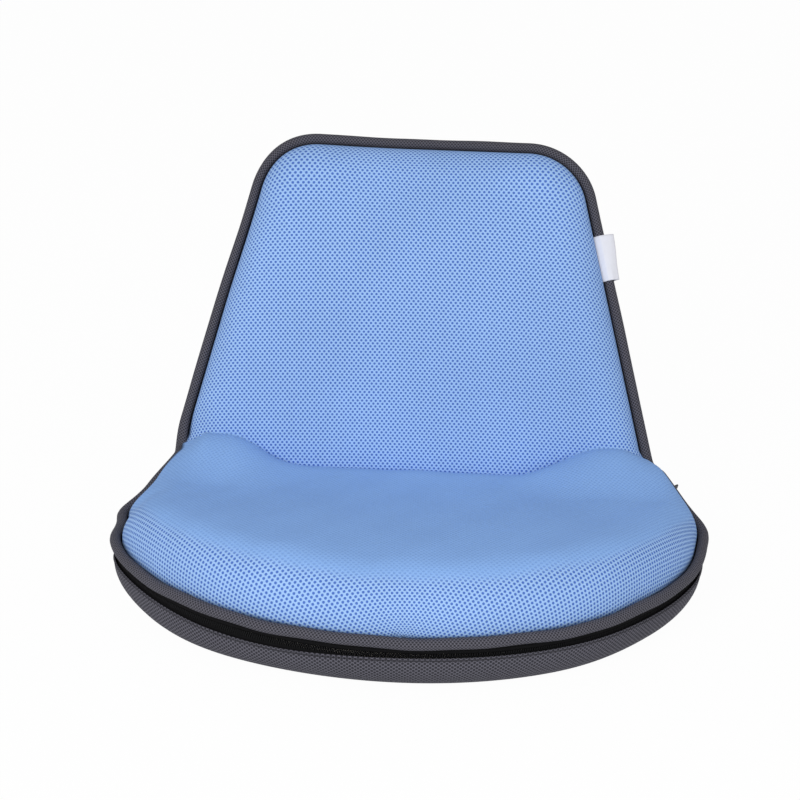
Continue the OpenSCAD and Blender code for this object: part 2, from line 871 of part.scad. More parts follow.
module back_frame_tube() {
    color(steel)
    on_back()
    difference() {
        union() {
            for (side = [-1, 1])
                translate([side * back_leg_x, back_leg_start, back_tube_z])
                rotate([-90, 0, 0])
                tube_run(back_arch_len - back_leg_start);
            translate([0, back_arch_len, back_tube_z])
            tube_bend(back_leg_x, 180);
        }
        for (side = [-1, 1])
            rivet_holes(back_rivets, side * back_leg_x, rivet_hole_r);
    }
}

module back_cross_tube() {
    color(steel)
    on_back()
    translate([0, back_cross_y, back_tube_z])
    cross_tube(back_leg_x);
}

// The back's straps lie across the arch, their thicker sewn ends looped round it
back_strap_turns = [7, 21, 35];
strap_lap = 12;
web_share = 0.6;

module arch_strap(turn) {
    half = back_leg_x * cos(turn);
    translate([-half + strap_lap, -strap_w / 2, arch_loop_r + (1 - web_share) / 2 * strap_t])
    cube([2 * (half - strap_lap), strap_w, web_share * strap_t]);
    both_sides()
    translate([half, 0, 0])
    rotate([90, 0, turn])
    linear_extrude(strap_w, center = true)
    union() {
        translate([-2 * strap_lap, arch_loop_r])
        square([2 * strap_lap, strap_t]);
        difference() {
            circle(r = arch_loop_r + strap_t);
            circle(r = arch_loop_r);
        }
    }
}

module back_support_straps() {
    color(black)
    on_back()
    for (turn = back_strap_turns)
        translate([0, back_arch_len + back_leg_x * sin(turn), back_tube_z])
        arch_strap(turn);
}

// Label: a ribbon folded round the back's right piping
tag_y = 200;
tag_t = 0.7;
tag_in = 3;
tag_gap = pipe_r + soft_gap;

module label_tag() {
    color(white)
    on_back()
    translate([side_x(tag_y), tag_y, -back_pipe_depth])
    rotate([0, 0, back_taper])
    rotate([90, 0, 0])
    linear_extrude(tag_len, center = true)
    polygon([
        [-tag_in, tag_gap],
        [-tag_in, tag_gap + tag_t],
        [tag_gap, tag_gap + tag_t],
        [tag_gap + tag_out, tag_t],
        [tag_gap + tag_out, -tag_t],
        [tag_gap, -tag_gap - tag_t],
        [soft_gap, -tag_gap - tag_t],
        [soft_gap, -tag_gap],
        [tag_gap, -tag_gap],
        [tag_gap + tag_out - tag_t, 0],
        [tag_gap, tag_gap]
    ]);
}

// The slider's own frame: origin at the end of the piping, Y along the zipper and X outwards
zip_yaw = atan(rear_slope);
zip_rise = (pipe_corner_z - pipe_z) * rise_k_share * 2 * start_share / seat_rear_len;
zip_pitch = atan(zip_rise * cos(zip_yaw));
zip_lean_share = cos(zip_pitch);

module on_zipper() {
    translate(seat_points[0])
    rotate([zip_pitch, 0, zip_yaw])
    children();
}

// Slider: an outer and an inner plate joined by a web in the slit
slider_len = 13;
slider_y = -8;
slider_t = 1.4;
slider_gap = 0.3;
slider_h = 2 * (teeth_h + slit);
web_t = 0.6;
web_len = 5;
mid_z = -zip_mid * zip_lean_share;
outer_face = teeth_n + teeth_t + slider_gap;
inner_face = teeth_n - slider_gap;
lug_w = 4;
lug_out = 2.6;
bail_r = 0.7;
bail_hole_r = bail_r + fit_gap;
pivot_x = outer_face + slider_t + lug_out / 2;
pivot_y = slider_y - slider_len / 2;

module zipper_slider() {
    color(black)
    on_zipper()
    translate([0, 0, mid_z])
    difference() {
        union() {
            translate([outer_face, slider_y - slider_len, -slider_h / 2])
            cube([slider_t, slider_len, slider_h]);
            translate([inner_face - slider_t, slider_y - slider_len, -slider_h / 2])
            cube([slider_t, slider_len, slider_h]);
            translate([inner_face - slider_t / 2, slider_y - slider_len, -web_t / 2])
            cube([outer_face - inner_face + slider_t, web_len, web_t]);
            translate([outer_face + slider_t / 2, pivot_y - lug_w / 2, -lug_w / 2])
            cube([slider_t / 2 + lug_out, lug_w, lug_w]);
        }
        translate([pivot_x, pivot_y, 0])
        cylinder(h = 2 * lug_w, r = bail_hole_r, center = true);
    }
}

// Bail: a closed wire ring through the slider's lug
bail_len = 9;
bail_half_h = 3.2;
bail_turn = -35;

module wire(a, b, r) {
    along = b - a;
    translate(a)
    rotate([0, acos(along.z / norm(along)), atan2(along.y, along.x)])
    cylinder(h = norm(along), r = r);
}

module bail_ring() {
    corners = [
        [0, 0, -bail_half_h], [0, 0, bail_half_h],
        [0, bail_len, bail_half_h], [0, bail_len, -bail_half_h]
    ];
    for (k = [0:3]) {
        wire(corners[k], corners[(k + 1) % 4], bail_r);
        translate(corners[k])
        sphere(r = bail_r);
    }
}

module zipper_bail() {
    color(steel)
    on_zipper()
    translate([pivot_x, pivot_y, mid_z])
    rotate([0, 0, bail_turn])
    bail_ring();
}

// Pull: a tab with an eye round the bail's far wire
pull_t = 1.6;
pull_len = 12;
pull_w = 4.4;
pull_eye_r = 1.9;
pull_turn = 40;

module zipper_pull() {
    color(black)
    on_zipper()
    translate([pivot_x, pivot_y, mid_z])
    rotate([0, 0, bail_turn])
    translate([0, bail_len, 0])
    rotate([0, 0, -pull_turn])
    difference() {
        union() {
            cylinder(h = pull_w, r = pull_eye_r, center = true);
            translate([-pull_t / 2, 0, -pull_w / 2])
            cube([pull_t, pull_len, pull_w]);
        }
        cylinder(h = 2 * pull_w, r = bail_hole_r, center = true);
    }
}

// End stops: a small clip past each end of the teeth
stop_len = 2;

module end_stop() {
    on_zipper()
    translate([teeth_n, -zip_mid * sin(zip_pitch) + slit, mid_z - slider_h / 4])
    cube([teeth_t, stop_len, slider_h / 2]);
}

module zipper_end_stops() {
    color(steel)
    both_sides()
    end_stop();
}

seat_top_cover();
seat_foam();
seat_piping();
seat_side_band();
seat_bottom_panel();
seat_frame_tube();
seat_cross_tube();
seat_support_straps();
zipper_tape_upper();
zipper_tape_lower();
zipper_teeth_upper();
zipper_teeth_lower();
zipper_end_stops();
zipper_slider();
zipper_bail();
zipper_pull();
crease_roll();
hinge_end_pad_left();
hinge_end_pad_right();
spine_gusset();
hinge_seat_plate_left();
hinge_seat_plate_right();
hinge_back_plate_left();
hinge_back_plate_right();
hinge_pin_left();
hinge_pin_right();
hinge_washers();
hinge_click_spring_left();
hinge_click_spring_right();
seat_frame_rivets();
back_frame_rivets();
back_front_cover();
back_foam();
back_piping();
back_side_band();
back_rear_panel();
back_frame_tube();
back_cross_tube();
back_support_straps();
label_tag();
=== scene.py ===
"""Looks of a folding floor chair: mesh covers, piping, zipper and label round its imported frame."""

import math

import bmesh
import bpy
import numpy as np
from bpy.props import FloatProperty, FloatVectorProperty
from mathutils import Matrix, Vector


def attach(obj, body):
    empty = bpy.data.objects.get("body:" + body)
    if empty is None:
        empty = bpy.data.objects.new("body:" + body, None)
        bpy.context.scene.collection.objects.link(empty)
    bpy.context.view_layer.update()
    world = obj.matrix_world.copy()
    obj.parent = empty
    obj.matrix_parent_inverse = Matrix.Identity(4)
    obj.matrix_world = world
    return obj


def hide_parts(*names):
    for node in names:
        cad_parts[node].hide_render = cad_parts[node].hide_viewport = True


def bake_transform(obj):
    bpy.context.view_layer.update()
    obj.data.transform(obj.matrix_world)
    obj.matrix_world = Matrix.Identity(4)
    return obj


bl_info = {
    "name": "Folding floor chair",
    "version": (1, 0, 0),
    "blender": (4, 5, 0),
    "location": "3D View > Sidebar > Floor Chair",
    "description": "Covers, piping, zipper, label and frame finishes of a folding floor chair",
    "category": "Add Mesh",
}

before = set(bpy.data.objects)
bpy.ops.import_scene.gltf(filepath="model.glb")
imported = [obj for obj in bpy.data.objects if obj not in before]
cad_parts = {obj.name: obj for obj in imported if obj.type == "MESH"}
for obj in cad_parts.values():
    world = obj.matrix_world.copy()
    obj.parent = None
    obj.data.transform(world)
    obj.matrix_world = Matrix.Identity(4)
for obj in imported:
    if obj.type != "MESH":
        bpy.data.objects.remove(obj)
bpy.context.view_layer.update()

# Sizes of the chair in millimetres, as in the part's source
MM = 0.001
SEAT_HALF_W = 267.0
SEAT_FRONT_LEN = 237.0
SEAT_REAR_LEN = 90.0
SEAT_REAR_CURVE = 185.0
CORNER_TURN = math.radians(20)
PIPE_Z = 46.0
PIPE_CORNER_Z = 72.0
CREST_Z = 100.0
CREST_LEN = 255.0
DISH = 3.0
SEAT_ROLL_W = 58.0
SEAT_SIDE_ROLL_W = 34.0
BAND_TUCK = 26.0
BACK_HALF_W = 228.0
BACK_LEN = 315.0
BACK_TAPER = math.radians(13.5)
BACK_CORNER_R = 64.0
BACK_PIPE_DEPTH = 24.0
BACK_CROWN = 3.0
BACK_ROLL_W = 34.0
BACK_DEPTH = 40.0
RECLINE = math.radians(62)
HINGE_Y = 165.0
HINGE_Z = 78.0
PIPE_R = 5.5
COVER_T = 2.5
BAND_T = 2.0
ZIP_W = 13.0

# Worked out from them
WIDEST_Y = HINGE_Y - SEAT_REAR_LEN
ALONG_BACK = (math.cos(RECLINE), math.sin(RECLINE))
PIPE_EDGE = PIPE_R + 0.3
ZIP_TOP = PIPE_EDGE
ZIP_LOW = ZIP_TOP + ZIP_W
UP = np.array([0.0, 0.0, 1.0])
LEVEL = np.array([1.0, 1.0, 0.0])
FLIP = np.array([-1.0, 1.0, 1.0])

# How far over the hinge the back's side band begins
BACK_FOOT = 34.0

# How many places the edge lines have for walls, panels and teeth
WALL_ROWS = 401
PANEL_ROWS = 241
TOOTH_ROWS = 801
BACK_WALL_ROWS = 281


# Small helpers
def soft_step(share):
    """Eases a share from 0 to 1."""
    q = np.clip(share, 0.0, 1.0)
    return q * q * (3 - 2 * q)


def rising(value, start, run):
    """Eases from 0 at the start to 1 a run further on."""
    return soft_step((value - start) / run)


def round_share(share):
    """Rises like the side of a rounded edge, from 0 to 1."""
    q = np.clip(share, 0.0, 1.0)
    return np.sqrt(1 - (1 - q) ** 2)


def squarer_share(share, power):
    """Like round_share, with a fuller shoulder where the power is over 2."""
    q = np.clip(share, 0.0, 1.0)
    return (1 - (1 - q) ** power) ** (1 / power)


def near(value, middle, reach):
    """1 at the middle, and less on both sides the further the value lies from it."""
    return np.exp(-(((value - middle) / reach) ** 2))


def mixed(a, b, share):
    return a + (b - a) * share


def lengths_along(points):
    """How far along a line each of its points lies."""
    steps = np.linalg.norm(np.diff(points, axis=0), axis=1)
    return np.concatenate([[0.0], np.cumsum(steps)])


def evenly(points, count):
    """A line's points, put again at even distances."""
    run = lengths_along(points)
    return at_lengths(points, run, np.linspace(0, run[-1], count))


def at_lengths(points, run, at):
    """Values between a line's points at given lengths along it."""
    return np.stack([np.interp(at, run, points[:, k]) for k in range(points.shape[1])], axis=1)


def unit_rows(rows):
    return rows / np.maximum(np.linalg.norm(rows, axis=-1, keepdims=True), 1e-9)


def distance_to_line(x, y, line):
    """Distance in the plane from each place to an open line of points."""
    best = np.full(x.shape, 1e9)
    for a, b in zip(line[:-1], line[1:]):
        ab = b - a
        t = np.clip(((x - a[0]) * ab[0] + (y - a[1]) * ab[1]) / max(ab @ ab, 1e-9), 0, 1)
        best = np.minimum(best, np.hypot(x - a[0] - t * ab[0], y - a[1] - t * ab[1]))
    return best


def on_back(x, up_back, out):
    """Places in the back's own plane, as they stand at rest."""
    c, s = ALONG_BACK
    return np.stack([x, HINGE_Y + up_back * c - out * s, HINGE_Z + up_back * s + out * c], axis=-1)


# The edge lines that piping, bands and zipper follow
REAR_START = SEAT_REAR_CURVE * math.sin(CORNER_TURN)
REAR_SLOPE = SEAT_HALF_W * math.sin(CORNER_TURN) / (SEAT_REAR_CURVE * math.cos(CORNER_TURN))
START_SHARE = REAR_START / SEAT_REAR_LEN
RISE_K = 1 / (START_SHARE**2 + 2 * START_SHARE * (1 - START_SHARE))


def edge_z(y):
    """Height of the seat's piping."""
    q = np.clip((y - WIDEST_Y) / SEAT_REAR_LEN, 0, 1)
    low = RISE_K * q * q
    high = RISE_K * (START_SHARE**2 + 2 * START_SHARE * (q - START_SHARE))
    return PIPE_Z + (PIPE_CORNER_Z - PIPE_Z) * np.where(q <= START_SHARE, low, high)


def seat_right_edge():
    """From the right hinge corner forward to the front of the seat."""
    y = np.linspace(HINGE_Y, WIDEST_Y + REAR_START, 12, endpoint=False)
    x = SEAT_HALF_W * math.cos(CORNER_TURN) - (y - WIDEST_Y - REAR_START) * REAR_SLOPE
    turn = np.linspace(CORNER_TURN, 0, 16, endpoint=False)
    ahead = np.linspace(0, math.pi / 2, 120)
    xs = np.concatenate([x, SEAT_HALF_W * np.cos(turn), SEAT_HALF_W * np.cos(ahead)])
    ys = np.concatenate(
        [y, WIDEST_Y + SEAT_REAR_CURVE * np.sin(turn), WIDEST_Y - SEAT_FRONT_LEN * np.sin(ahead)]
    )
    return np.stack([xs, ys, edge_z(ys)], axis=1)


def back_right_edge(start):
    """From a height over the hinge up the right side to the middle of the top, in the back's plane."""
    corner_y = BACK_LEN - BACK_CORNER_R
    corner_x = BACK_HALF_W - corner_y * math.tan(BACK_TAPER) - BACK_CORNER_R / math.cos(BACK_TAPER)
    side_top = corner_y + BACK_CORNER_R * math.sin(BACK_TAPER)
    y = np.linspace(start, side_top, 40, endpoint=False)
    x = BACK_HALF_W - y * math.tan(BACK_TAPER)
    turn = np.linspace(BACK_TAPER, math.pi / 2, 40)
    xs = np.concatenate([x, corner_x + BACK_CORNER_R * np.cos(turn), [0.0]])
    ys = np.concatenate([y, corner_y + BACK_CORNER_R * np.sin(turn), [BACK_LEN]])
    return np.stack([xs, ys, np.full(xs.shape, -BACK_PIPE_DEPTH)], axis=1)


def both_halves(right):
    """A line from the right over the middle to the left."""
    return np.concatenate([right[:-1], right[::-1] * FLIP])


def outward(points, side):
    """Level direction away from the middle at each point of a line."""
    along = np.gradient(points, axis=0)
    return unit_rows(side * np.stack([-along[:, 1], along[:, 0], np.zeros(len(points))], axis=1))


def seat_edge(count):
    points = evenly(both_halves(seat_right_edge()), count)
    return points, outward(points, 1)


def back_edge(count):
    """The back's edge, from where its side band begins."""
    points = evenly(both_halves(back_right_edge(BACK_FOOT)), count)
    return points, outward(points, -1)


def rows_between(outline):
    """Rows of places from the left to the right half of an outline, ends first and middle last."""
    half = len(outline) // 2
    right, left = outline[: half + 1], outline[half:][::-1]
    return np.array([np.linspace(b, a, 41) for a, b in zip(right, left)])


# How the covers are pulled off their true outline: by how many mm, about which y, over which reach
LEFT_PULLS = ((4.5, 64.0, 24.0), (-2.5, 8.0, 40.0))
RIGHT_PULLS = ((5.0, 98.0, 28.0), (-5.5, -70.0, 75.0))
LEFT_CORNER_PULL = 12.5
LEFT_TOP_PULL = 5.0
LEFT_TOP_RISE = 2.0


def settle(places):
    """The small ways in which the sewn covers sit off their true outline, as places in mm."""
    x, y, z = places[..., 0], places[..., 1], places[..., 2]
    left, right = rising(-x, 120, 100), rising(x, 120, 100)
    on_seat = 1 - rising(z, 90, 60)
    corner = rising(y, 80, 50) * (1 - rising(y, 165, 40)) * on_seat
    top = rising(z, 200, 110)
    moved = places.copy()
    moved[..., 0] += left * (LEFT_CORNER_PULL * corner + LEFT_TOP_PULL * top)
    for side, pulls in ((left, LEFT_PULLS), (right, RIGHT_PULLS)):
        for far, middle, reach in pulls:
            moved[..., 0] += side * on_seat * far * near(y, middle, reach)
    moved[..., 2] += LEFT_TOP_RISE * rising(-x, 20, 120) * rising(z, 300, 40)
    return moved


# Making meshes from tables of places
def add_object(name, data):
    """Puts new data in the scene as an object."""
    made = bpy.data.objects.new(name, data)
    bpy.context.scene.collection.objects.link(made)
    return made


def fill_mesh(name, bm, material):
    """Turns a bmesh into an object with one material."""
    mesh = bpy.data.meshes.new(name)
    bm.to_mesh(mesh)
    bm.free()
    mesh.materials.append(material)
    return add_object(name, mesh)


def smooth_piece(name, bm, material):
    """Turns a bmesh into a smooth piece of the chair."""
    piece = fill_mesh(name, bm, material)
    piece.data.shade_smooth()
    return piece


def table_grid(table, pattern, marks=None):
    """A bmesh grid laid over a table of places in mm, settled; pattern holds UVs in metres."""
    bm = bmesh.new()
    table = settle(table)
    rows, cols = table.shape[0] - 1, table.shape[1] - 1
    layer = bm.loops.layers.uv.new("weave")
    marks = {bm.verts.layers.float.new(name): values for name, values in (marks or {}).items()}
    bmesh.ops.create_grid(bm, x_segments=cols, y_segments=rows, size=0.5)
    spot = {}
    for v in bm.verts:
        i, j = round((v.co.y + 0.5) * rows), round((v.co.x + 0.5) * cols)
        spot[v] = (i, j)
        v.co = Vector(table[i, j] * MM)
        for mark, values in marks.items():
            v[mark] = values[i, j]
    for face in bm.faces:
        for loop in face.loops:
            loop[layer].uv = pattern[spot[loop.vert]]
    return bm


def closed_piece(name, table, pattern, material):
    """A closed piece: what meets is merged, open ends are filled and the faces turned outwards."""
    bm = table_grid(table, pattern)
    bmesh.ops.remove_doubles(bm, verts=bm.verts, dist=1e-6)
    open_edges = [e for e in bm.edges if e.is_boundary]
    if open_edges:
        bmesh.ops.holes_fill(bm, edges=open_edges)
    bmesh.ops.recalc_face_normals(bm, faces=bm.faces)
    return smooth_piece(name, bm, material)


def ring_of(top, low):
    """One table that runs over the top, back under the low side and ends where it began."""
    return np.concatenate([top, low[:, ::-1], top[:, :1]], axis=1)


def length_pattern(table):
    """UVs in metres: across each row from its middle, and along the table's middle column."""
    across = np.zeros(table.shape[:2])
    across[:, 1:] = np.cumsum(np.linalg.norm(np.diff(table, axis=1), axis=2), axis=1)
    along = np.repeat(lengths_along(table[:, table.shape[1] // 2])[:, None], table.shape[1], axis=1)
    return np.stack([across - across[:, -1:] / 2, along], axis=2) * MM


def give_thickness(piece, name, thickness, offset=-1.0):
    """Gives a single layer its thickness in mm, inwards unless the offset says otherwise."""
    shell = piece.modifiers.new(name, "SOLIDIFY")
    shell.thickness = thickness * MM
    shell.offset = offset


# Shader helpers
class Nodes:
    """Adds nodes to a tree and joins them by name."""

    def __init__(self, tree):
        self.tree = tree

    def add(self, kind, inputs=None, **settings):
        node = self.tree.nodes.new(kind)
        for key, value in settings.items():
            setattr(node, key, value)
        self.feed(node, inputs or {})
        return node

    def feed(self, node, inputs):
        """Sets or joins a node's inputs, given by name."""
        for key, value in inputs.items():
            if isinstance(value, bpy.types.NodeSocket):
                self.tree.links.new(value, node.inputs[key])
            else:
                node.inputs[key].default_value = value

    def math(self, operation, *values):
        return self.add("ShaderNodeMath", dict(enumerate(values)), operation=operation).outputs[0]

    def plus(self, a, b):
        return self.math("ADD", a, b)

    def minus(self, a, b):
        return self.math("SUBTRACT", a, b)

    def times(self, a, b):
        return self.math("MULTIPLY", a, b)

    def over(self, a, b):
        return self.math("DIVIDE", a, b)

    def between(self, value, low, high, ramp="SMOOTHSTEP"):
        """A share that rises from 0 to 1 between two values."""
        limits = {"Value": value, "From Min": low, "From Max": high}
        return self.add("ShaderNodeMapRange", limits, interpolation_type=ramp).outputs[0]

    def mix(self, share, a, b):
        return self.add("ShaderNodeMix", {0: share, 6: a, 7: b}, data_type="RGBA").outputs[2]

    def shaded(self, colour, value, saturation=1.0):
        """A colour made lighter or darker."""
        inputs = {"Color": colour, "Value": value, "Saturation": saturation}
        return self.add("ShaderNodeHueSaturation", inputs).outputs[0]

    def noise(self, place, scale, detail):
        inputs = {"Vector": place, "Scale": scale, "Detail": detail}
        return self.add("ShaderNodeTexNoise", inputs).outputs[0]

    def bump(self, height, distance, strength):
        inputs = {"Height": height, "Distance": distance, "Strength": strength}
        return self.add("ShaderNodeBump", inputs).outputs[0]

    def place(self):
        """Where a point lies on the object."""
        return self.add("ShaderNodeTexCoord").outputs["Object"]

    def weave(self):
        """Where a point lies on the piece's own cloth."""
        return self.add("ShaderNodeUVMap", uv_map="weave").outputs[0]

    def mark(self, name):
        """A value that the piece's vertices carry."""
        return self.add("ShaderNodeAttribute", attribute_name=name).outputs["Fac"]


def fresh_nodes(holder):
    """The node adder for the emptied tree of a material or world."""
    holder.use_nodes = True
    holder.node_tree.nodes.clear()
    return Nodes(holder.node_tree)


def node_group(name, inputs, outputs):
    """An empty shader node group: its node adder, its inputs and the node for its outputs."""
    group = bpy.data.node_groups.new(name, "ShaderNodeTree")
    kinds = {"value": "NodeSocketFloat", "vector": "NodeSocketVector", "colour": "NodeSocketColor"}
    for key, (kind, default) in inputs.items():
        socket = group.interface.new_socket(key, in_out="INPUT", socket_type=kinds[kind])
        if default is not None:
            socket.default_value = default
    for key, kind in outputs.items():
        group.interface.new_socket(key, in_out="OUTPUT", socket_type=kinds[kind])
    n = Nodes(group)
    return n, n.add("NodeGroupInput").outputs, n.add("NodeGroupOutput")


def spacer_mesh_group(name):
    """Rows of round holes, each row shifted by half a hole, with soft threads between."""
    n, given, out = node_group(
        name,
        {
            "Place": ("vector", None),
            "Pitch": ("value", 0.00435),
            "Row pitch": ("value", 0.00275),
            "Hole": ("value", 0.3),
            "Pressed": ("value", 0.0),
            "Thread colour": ("colour", (0.4, 0.6, 0.9, 1)),
            "Pressed shaded colour": ("colour", (0.3, 0.5, 0.85, 1)),
            "Hole colour": ("colour", (0.08, 0.15, 0.5, 1)),
        },
        {"Colour": "colour", "Height": "value"},
    )
    parts = n.add("ShaderNodeSeparateXYZ", {0: given["Place"]}).outputs
    row = n.over(parts["Y"], given["Row pitch"])
    shift = n.times(n.math("FLOORED_MODULO", n.math("FLOOR", row), 2.0), 0.5)
    col = n.plus(n.over(parts["X"], given["Pitch"]), shift)
    dx = n.minus(n.math("FRACT", col), 0.5)
    dy = n.minus(n.math("FRACT", row), 0.5)
    dy_round = n.times(dy, n.over(given["Row pitch"], given["Pitch"]))
    far = n.math("SQRT", n.plus(n.times(dx, dx), n.times(dy_round, dy_round)))
    inner, outer = n.times(given["Hole"], 0.72), n.times(given["Hole"], 1.28)
    open_share = n.minus(1.0, n.times(given["Pressed"], 0.76))
    hole = n.times(n.minus(1.0, n.between(far, inner, outer)), open_share)
    uneven = n.between(n.noise(given["Place"], 900.0, 2.0), 0.3, 0.7, "LINEAR")
    # Pressed places take the darker pressed colour: pressed pile, and painted shade on the level top
    yarn = n.mix(given["Pressed"], given["Thread colour"], given["Pressed shaded colour"])
    thread = n.mix(uneven, n.shaded(yarn, 0.9, 1.04), yarn)
    height = n.plus(n.minus(1.0, hole), n.times(uneven, 0.08))
    n.feed(out, {"Colour": n.mix(hole, thread, given["Hole colour"]), "Height": height})
    return n.tree


def cloth_tone_group(name):
    """Slow change of tone over a large cloth, as from handling and light dust."""
    n, given, out = node_group(
        name,
        {"Place": ("vector", None), "Colour": ("colour", (0.5, 0.5, 0.5, 1)), "Amount": ("value", 0.1)},
        {"Colour": "colour"},
    )
    slow, fine = n.noise(given["Place"], 9.0, 3.0), n.noise(given["Place"], 260.0, 1.0)
    tone = n.plus(n.times(slow, 0.7), n.times(fine, 0.3))
    offset = n.times(n.minus(tone, 0.5), given["Amount"])
    n.feed(out, {"Colour": n.shaded(given["Colour"], n.plus(1.0, n.times(offset, 2.0)))})
    return n.tree


def ribbed_weave_group(name):
    """Fine ribs along a tape, crossed by threads."""
    n, given, out = node_group(
        name,
        {
            "Place": ("vector", None),
            "Rib": ("value", 0.0012),
            "Thread": ("value", 0.0008),
            "Colour": ("colour", (0.02, 0.02, 0.02, 1)),
            "Dark": ("value", 0.6),
        },
        {"Colour": "colour", "Height": "value"},
    )
    parts = n.add("ShaderNodeSeparateXYZ", {0: given["Place"]}).outputs

    def wave(place, pitch):
        turn = n.times(n.over(place, pitch), 2 * math.pi)
        return n.plus(n.times(n.math("SINE", turn), 0.5), 0.5)

    rib, thread = wave(parts["X"], given["Rib"]), wave(parts["Y"], given["Thread"])
    height = n.plus(n.times(rib, 0.7), n.times(thread, 0.3))
    colour = n.mix(height, n.shaded(given["Colour"], given["Dark"]), given["Colour"])
    n.feed(out, {"Colour": colour, "Height": height})
    return n.tree


def worn_finish_group(name):
    """Fine scratches and spots on coated metal and moulded plastic."""
    n, given, out = node_group(
        name,
        {
            "Place": ("vector", None),
            "Colour": ("colour", (0.1, 0.1, 0.1, 1)),
            "Roughness": ("value", 0.4),
            "Grain": ("value", 900.0),
        },
        {"Colour": "colour", "Roughness": "value", "Height": "value"},
    )
    rub = n.between(n.noise(given["Place"], 45.0, 4.0), 0.55, 0.75)
    value = n.plus(0.92, n.times(rub, 0.35))
    n.feed(
        out,
        {
            "Colour": n.shaded(given["Colour"], value),
            "Roughness": n.plus(given["Roughness"], n.times(n.minus(rub, 0.5), 0.12)),
            "Height": n.noise(given["Place"], given["Grain"], 2.0),
        },
    )
    return n.tree


GROUP_MAKERS = {
    "Spacer mesh": spacer_mesh_group,
    "Cloth tone": cloth_tone_group,
    "Ribbed weave": ribbed_weave_group,
    "Worn finish": worn_finish_group,
}


def use_group(n, name, inputs):
    """The outputs of a shared node group, which is built the first time that it is asked for."""
    group = bpy.data.node_groups.get(name) or GROUP_MAKERS[name](name)
    return n.add("ShaderNodeGroup", inputs, node_tree=group).outputs


def toned(n, colour, amount):
    """A colour with the slow change of tone of a large cloth."""
    inputs = {"Place": n.place(), "Colour": colour, "Amount": amount}
    return use_group(n, "Cloth tone", inputs)["Colour"]


def new_material(name):
    """A material with its shader, and the node adder for its tree."""
    material = bpy.data.materials.new(name)
    n = fresh_nodes(material)
    shader = n.add("ShaderNodeBsdfPrincipled")
    n.add("ShaderNodeOutputMaterial", {"Surface": shader.outputs[0]})
    return material, n, shader


def made_once(maker):
    """Gives the material of a name again, once it has been made."""

    def give(name, *rest, **settings):
        return bpy.data.materials.get(name) or maker(name, *rest, **settings)

    return give


# Red, green and blue of pressed threads, as shares of the loose threads' own; this darker tint on the
# cover's level top is painted shade as well as pressed pile
PRESSED_SHADE_TINT = (0.79, 0.875, 0.97)

# How much painted shade shows along the cloth's edges next to the piping and zipper, and the colour of that
# shade as a share of the holes'
SEAM_SHADOW = 0.95
SEAM_SHADE_TINT = 0.06


@made_once
def mesh_cloth(name, thread, hole, pitch, row_pitch, hole_share, depth, roughness, sheen):
    """Spacer mesh cloth: holes by colour and height, with painted shade along its edges where they meet the
    piping or lie under the zipper.
    """
    material, n, shader = new_material(name)
    cloth = use_group(
        n,
        "Spacer mesh",
        {
            "Place": n.weave(),
            "Pressed": n.mark("pressed_and_shaded"),
            "Pitch": pitch,
            "Row pitch": row_pitch,
            "Hole": hole_share,
            "Thread colour": (*thread, 1),
            "Pressed shaded colour": (*(a * b for a, b in zip(thread, PRESSED_SHADE_TINT)), 1),
            "Hole colour": (*hole, 1),
        },
    )
    # The seam mark paints shade into the gap where the cloth meets the piping or lies under the zipper
    shadow = n.times(n.mark("seam"), SEAM_SHADOW)
    seam_shade_colour = (*(c * SEAM_SHADE_TINT for c in hole), 1)
    n.feed(
        shader,
        {
            "Base Color": n.mix(shadow, toned(n, cloth["Colour"], 0.12), seam_shade_colour),
            "Normal": n.bump(cloth["Height"], depth, 0.8),
            "Roughness": roughness,
            "Sheen Weight": sheen,
            "Sheen Roughness": 0.5,
            "Sheen Tint": (*thread, 1),
            "Specular IOR Level": 0.25,
        },
    )
    return material


@made_once
def tape_cloth(name, colour, rib, thread, depth, roughness, dark=0.62):
    """Woven tape or ribbon with ribs along it."""
    material, n, shader = new_material(name)
    inputs = {"Place": n.weave(), "Rib": rib, "Thread": thread, "Colour": (*colour, 1), "Dark": dark}
    weave = use_group(n, "Ribbed weave", inputs)
    n.feed(
        shader,
        {
            "Base Color": toned(n, weave["Colour"], 0.1),
            "Normal": n.bump(weave["Height"], depth, 0.7),
            "Roughness": roughness,
            "Specular IOR Level": 0.12,
        },
    )
    return material


@made_once
def hard_finish(name, colour, roughness, metallic=0.0, grain=900.0, coat=0.0, specular=0.5):
    """Coated metal, bright wire or moulded plastic."""
    material, n, shader = new_material(name)
    inputs = {"Place": n.place(), "Colour": (*colour, 1), "Roughness": roughness, "Grain": grain}
    worn = use_group(n, "Worn finish", inputs)
    n.feed(
        shader,
        {
            "Base Color": worn["Colour"],
            "Roughness": worn["Roughness"],
            "Normal": n.bump(worn["Height"], 0.00004, 0.5),
            "Metallic": metallic,
            "Coat Weight": coat,
            "Specular IOR Level": specular,
        },
    )
    return material


@made_once
def foam_finish(name):
    """Open cell foam."""
    material, n, shader = new_material(name)
    cells = n.add("ShaderNodeTexVoronoi", {"Vector": n.place(), "Scale": 700.0})
    pores = n.between(cells.outputs["Distance"], 0.1, 0.6)
    colour = n.mix(pores, (0.55, 0.5, 0.38, 1), (0.9, 0.87, 0.78, 1))
    n.feed(
        shader,
        {
            "Base Color": toned(n, colour, 0.15),
            "Normal": n.bump(pores, 0.0006, 0.6),
            "Roughness": 0.95,
        },
    )
    return material


def blue_cloth():
    look = bpy.context.scene.floor_chair
    return mesh_cloth(
        "Blue spacer mesh",
        tuple(look.blue),
        tuple(look.blue_hole),
        pitch=look.hole_pitch,
        row_pitch=look.hole_pitch * look.row_share,
        hole_share=look.hole_share,
        depth=0.0009,
        roughness=0.9,
        sheen=0.12,
    )


